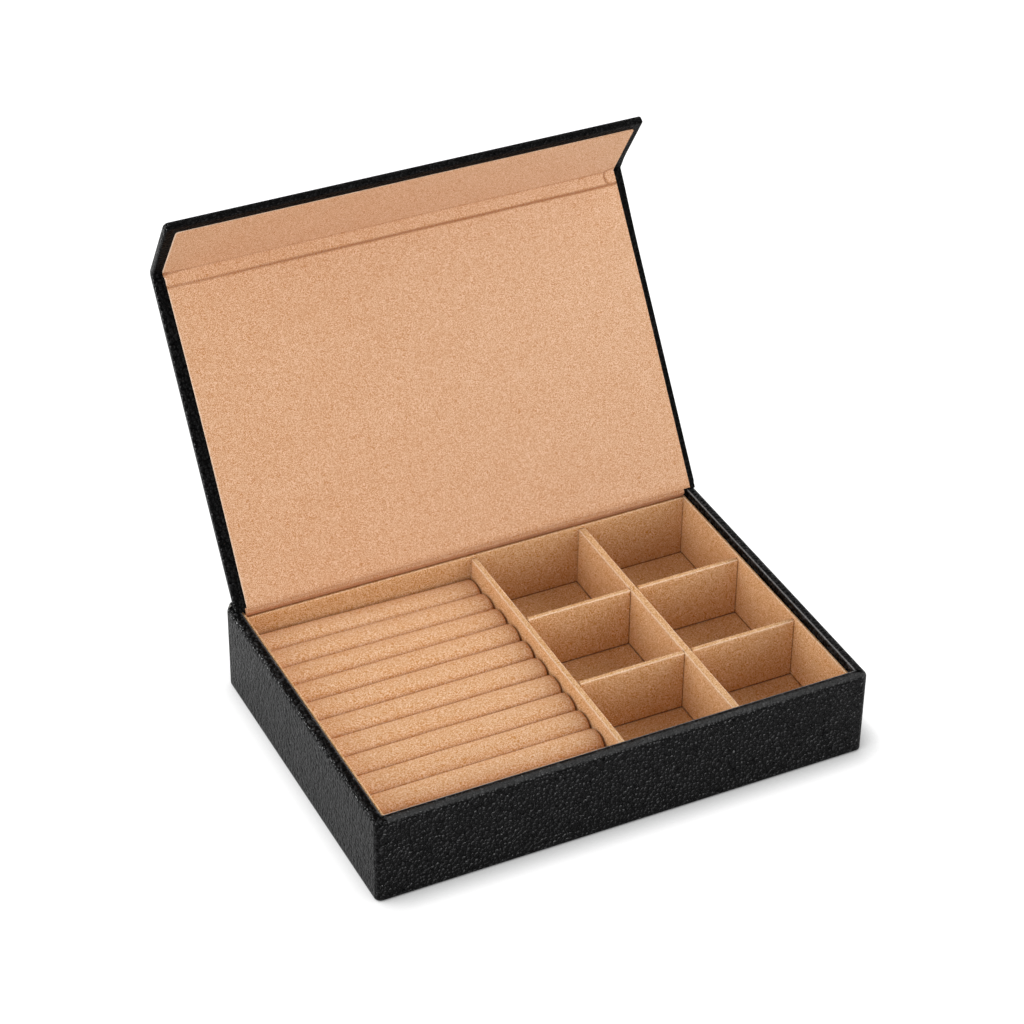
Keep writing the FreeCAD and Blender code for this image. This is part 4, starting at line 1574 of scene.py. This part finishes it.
@dataclass
class SoftHinge:
    """The suede band that joins the rear wall to the foot of the lid."""

    wardrobe: Wardrobe
    path: PanelPath
    cover: LidCover
    thickness: float = 0.55 * MM
    tail: float = 24.0 * MM
    lean: float = 1.6 * MM
    lap: float = 1.3 * MM
    sunk: float = 0.25 * MM
    loose_below: float = 0.5 * MM
    side_gap: float = 0.1 * MM
    # Painted shade over the whole band, strongest just above the rear wall's lining.
    painted_shade_base: float = 0.42

    def painted_shade(self, height: float) -> float:
        """How much painted shade lies on the band at a height over the rear wall's lining, most just above it."""
        return self.painted_shade_base + (1 - self.painted_shade_base) * math.exp(-(height / (0.4 * MM) - 0.6) ** 2)

    def build(self) -> None:
        """Make the band."""
        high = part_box("lid_hinge_suede")[1]
        liner_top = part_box("rear_liner")[1].z
        wall = high.y
        top = self.cover.foot + self.lap
        lid_foot = self.path.on_lid(0.0, self.cover.foot_along(self.sunk, self.cover.foot), self.sunk)
        lid_top = self.path.on_lid(0.0, self.cover.foot_along(self.sunk, top), self.sunk)
        knots = [Vector((0, wall - self.thickness, liner_top - self.tail)),
                 Vector((0, wall - self.thickness, liner_top - self.loose_below)),
                 lid_foot - self.path.up_lid * 0.6 * MM, lid_top]
        line = [knots[0].lerp(knots[1], i / 8) for i in range(8)]
        for i in range(13):
            share = i / 12
            first = knots[1].lerp(knots[1] + Vector((0, 0, self.lean)), share)
            second = (knots[2] - self.path.up_lid * self.lean).lerp(knots[2], share)
            line.append(first.lerp(second, smoothstep(share)))
        line += [knots[2].lerp(knots[3], i / 4) for i in range(1, 5)]
        rings = []
        half = high.x - self.side_gap
        for i, spot in enumerate(line):
            ahead = line[min(i + 1, len(line) - 1)] - line[max(i - 1, 0)]
            out = Vector((0, ahead.z, -ahead.y)).normalized()
            xs = spread(-half, half, 6.0 * MM)
            ring = [spot + Vector((x, 0, 0)) for x in xs]
            ring += [spot + out * self.thickness * 0.9 + Vector((x, 0, 0)) for x in reversed(xs)]
            rings.append(ring)
        piece = ring_mesh("rear_hinge_band", [rings])
        mark_seams(piece, lambda point: self.painted_shade(point.z - liner_top))
        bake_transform(piece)
        dress(piece, self.wardrobe.lining, Slot.SUEDE, "lid_hinge_suede")


# ---------------------------------------------------------------- studio


@dataclass
class Studio:
    """Plain pale floor, soft light and the camera."""

    azimuth: float = -26.55
    elevation: float = 35.24
    roll: float = 0.83
    distance: float = 1.44418
    slide_right: float = -0.01352
    slide_up: float = 0.09316
    lens: float = 110.88
    floor_radius: float = 6.0
    wall_light: float = 1.65
    top_light: float = 0.0
    tent_low: float = 0.25
    tent_high: float = 0.9
    sun_spread: float = 60.0
    suns: Sequence[Lamp] = (
        ("left_light", 0.83, (-0.8, 0.0, 0.65)),
        ("right_light", 1.64, (0.8, 0.0, 0.6)),
    )
    strips: Sequence[Lamp] = (
        ("front_strip", 16.0, (0.12, -0.76, 0.12)),
        ("side_strip", 16.0, (-0.62, 0.52, 0.16)),
    )
    strip_width: float = 0.30
    strip_height: float = 0.12
    floor_tone: float = 0.8
    floor_seen: float = 0.2
    floor_lift: float = 1.03
    contact: float = 16.0 * MM
    contact_power: float = 1.5
    shadow_lean: float = 0.6

    def camera(self) -> None:
        """Place the camera."""
        turn, rise, tilt = (math.radians(v) for v in (self.azimuth, self.elevation, self.roll))
        back = Vector((math.sin(turn) * math.cos(rise), -math.cos(turn) * math.cos(rise), math.sin(rise)))
        right = (-back).cross(Vector((0, 0, 1))).normalized()
        up = right.cross(-back)
        rolled_right = right * math.cos(tilt) + up * math.sin(tilt)
        rolled_up = up * math.cos(tilt) - right * math.sin(tilt)
        data = bpy.data.cameras.new("studio_camera")
        data.lens = self.lens
        data.sensor_width = 36.0
        data.clip_start = 0.05
        data.clip_end = 50.0
        camera = bpy.data.objects.new("studio_camera", data)
        place = back * self.distance + rolled_right * self.slide_right + rolled_up * self.slide_up
        axes = Matrix((rolled_right, rolled_up, back)).transposed().to_4x4()
        camera.matrix_world = Matrix.Translation(place) @ axes
        bpy.context.scene.collection.objects.link(camera)
        bpy.context.scene.camera = camera

    def floor_material(self) -> bpy.types.Material:
        """Draw a pale floor that glows for the camera and in gloss, with a painted contact shadow: the glow dims
        round what stands on it.

        Returns:
            The material.
        """
        material = bpy.data.materials.new("studio_floor_finish")
        graph = NodeGraph(material)
        haze = graph.noise(graph.coordinates(), 900.0)
        tone = graph.remap(haze, 0.3, 0.7, self.floor_tone, self.floor_tone + 0.02)
        lit = graph.add("BsdfPrincipled", {"Base Color": tone, "Roughness": 0.9, "Specular IOR Level": 0.0})
        shade = (self.floor_seen, self.floor_seen, self.floor_seen, 1.0)
        seen = graph.add("BsdfDiffuse", {"Color": shade})
        # Painted contact shadow: ambient occlusion, leaned to one side, dims the glow near the box.
        lean = graph.vectors("NORMALIZE", (-self.shadow_lean, 0.0, 1.0))
        near = graph.add("AmbientOcclusion", {"Distance": self.contact, "Normal": lean}, "AO", samples=8)
        lift = graph.times(graph.math("POWER", near, self.contact_power), self.floor_lift)
        bright = graph.add("AddShader", {0: seen, 1: graph.add("Emission", {"Strength": lift})})
        rays = graph.seen_by("Is Camera Ray", "Is Glossy Ray")
        graph.surface(graph.add("MixShader", {0: rays, 1: lit, 2: bright}))
        return material

    def floor(self) -> None:
        """Lay the floor, just under the box."""
        bpy.ops.mesh.primitive_circle_add(vertices=96, radius=self.floor_radius, fill_type="NGON",
                                          location=(0, 0, -0.02 * MM))
        floor = bpy.context.object
        floor.name = "studio_floor"
        floor.data.materials.append(self.floor_material())

    def world(self) -> None:
        """Set a soft tent of light, dimmer overhead, with a white backdrop."""
        world = bpy.data.worlds.new("studio_world")
        bpy.context.scene.world = world
        graph = NodeGraph(world)
        height = graph.add("SeparateXYZ", {0: graph.add("TexCoord", {}, "Generated")}, "Z")
        rise = graph.remap(height, self.tent_low, self.tent_high, self.wall_light, self.top_light, True)
        soft, white = (graph.add("Background", {"Strength": strength, "Color": (1.0, 1.0, 1.0, 1.0)})
                       for strength in (rise, 1.0))
        rays = graph.seen_by("Is Camera Ray", "Is Glossy Ray", "Is Transmission Ray")
        graph.surface(graph.add("MixShader", {0: rays, 1: soft, 2: white}), "OutputWorld")

    def lamp(self, name: str, kind: str, place: tuple[float, float, float], hidden: Sequence[str],
             settings: dict[str, object]) -> None:
        """Add a lamp that shines towards the box.

        Args:
            name: Name of the lamp.
            kind: Its type.
            place: Where it stands, or the direction of a sun.
            hidden: The kinds of rays that it doesn't show in.
            settings: Its power and size.
        """
        data = bpy.data.lights.new(name, kind)
        for key, value in settings.items():
            setattr(data, key, value)
        lamp = bpy.data.objects.new(name, data)
        if kind == "AREA":
            lamp.location = place
        lamp.rotation_mode = "QUATERNION"
        lamp.rotation_quaternion = Vector(place).to_track_quat("Z", "Y")
        for rays in hidden:
            setattr(lamp, f"visible_{rays}", False)
        bpy.context.scene.collection.objects.link(lamp)

    def light(self) -> None:
        """Set the tent, two broad suns for the colours and two strips for the gloss."""
        self.world()
        for name, energy, source in self.suns:
            settings = {"energy": energy, "angle": math.radians(self.sun_spread)}
            self.lamp(name, "SUN", source, ("glossy",), settings)
        for name, energy, place in self.strips:
            settings = {"shape": "RECTANGLE", "size": self.strip_width, "size_y": self.strip_height,
                        "energy": energy}
            self.lamp(name, "AREA", place, ("diffuse", "camera"), settings)

    def build(self) -> None:
        """Set up the camera, the floor and the light."""
        bpy.context.scene.view_settings.view_transform = "Standard"
        self.camera()
        self.floor()
        self.light()


def main() -> None:
    """Build every piece of the box, then the studio round it."""
    logging.basicConfig(level=logging.INFO, format="%(name)s: %(message)s")
    wardrobe = Wardrobe()
    CarriedSolids(wardrobe).build()
    TraySkin(wardrobe).build()
    Partitions(wardrobe).build()
    RingRolls(wardrobe).build()
    path = PanelPath()
    cover = LidCover(wardrobe, path)
    cover.build()
    LidLining(wardrobe, path, cover).build()
    SoftHinge(wardrobe, path, cover).build()
    Studio().build()


if __name__ == "__main__":
    main()
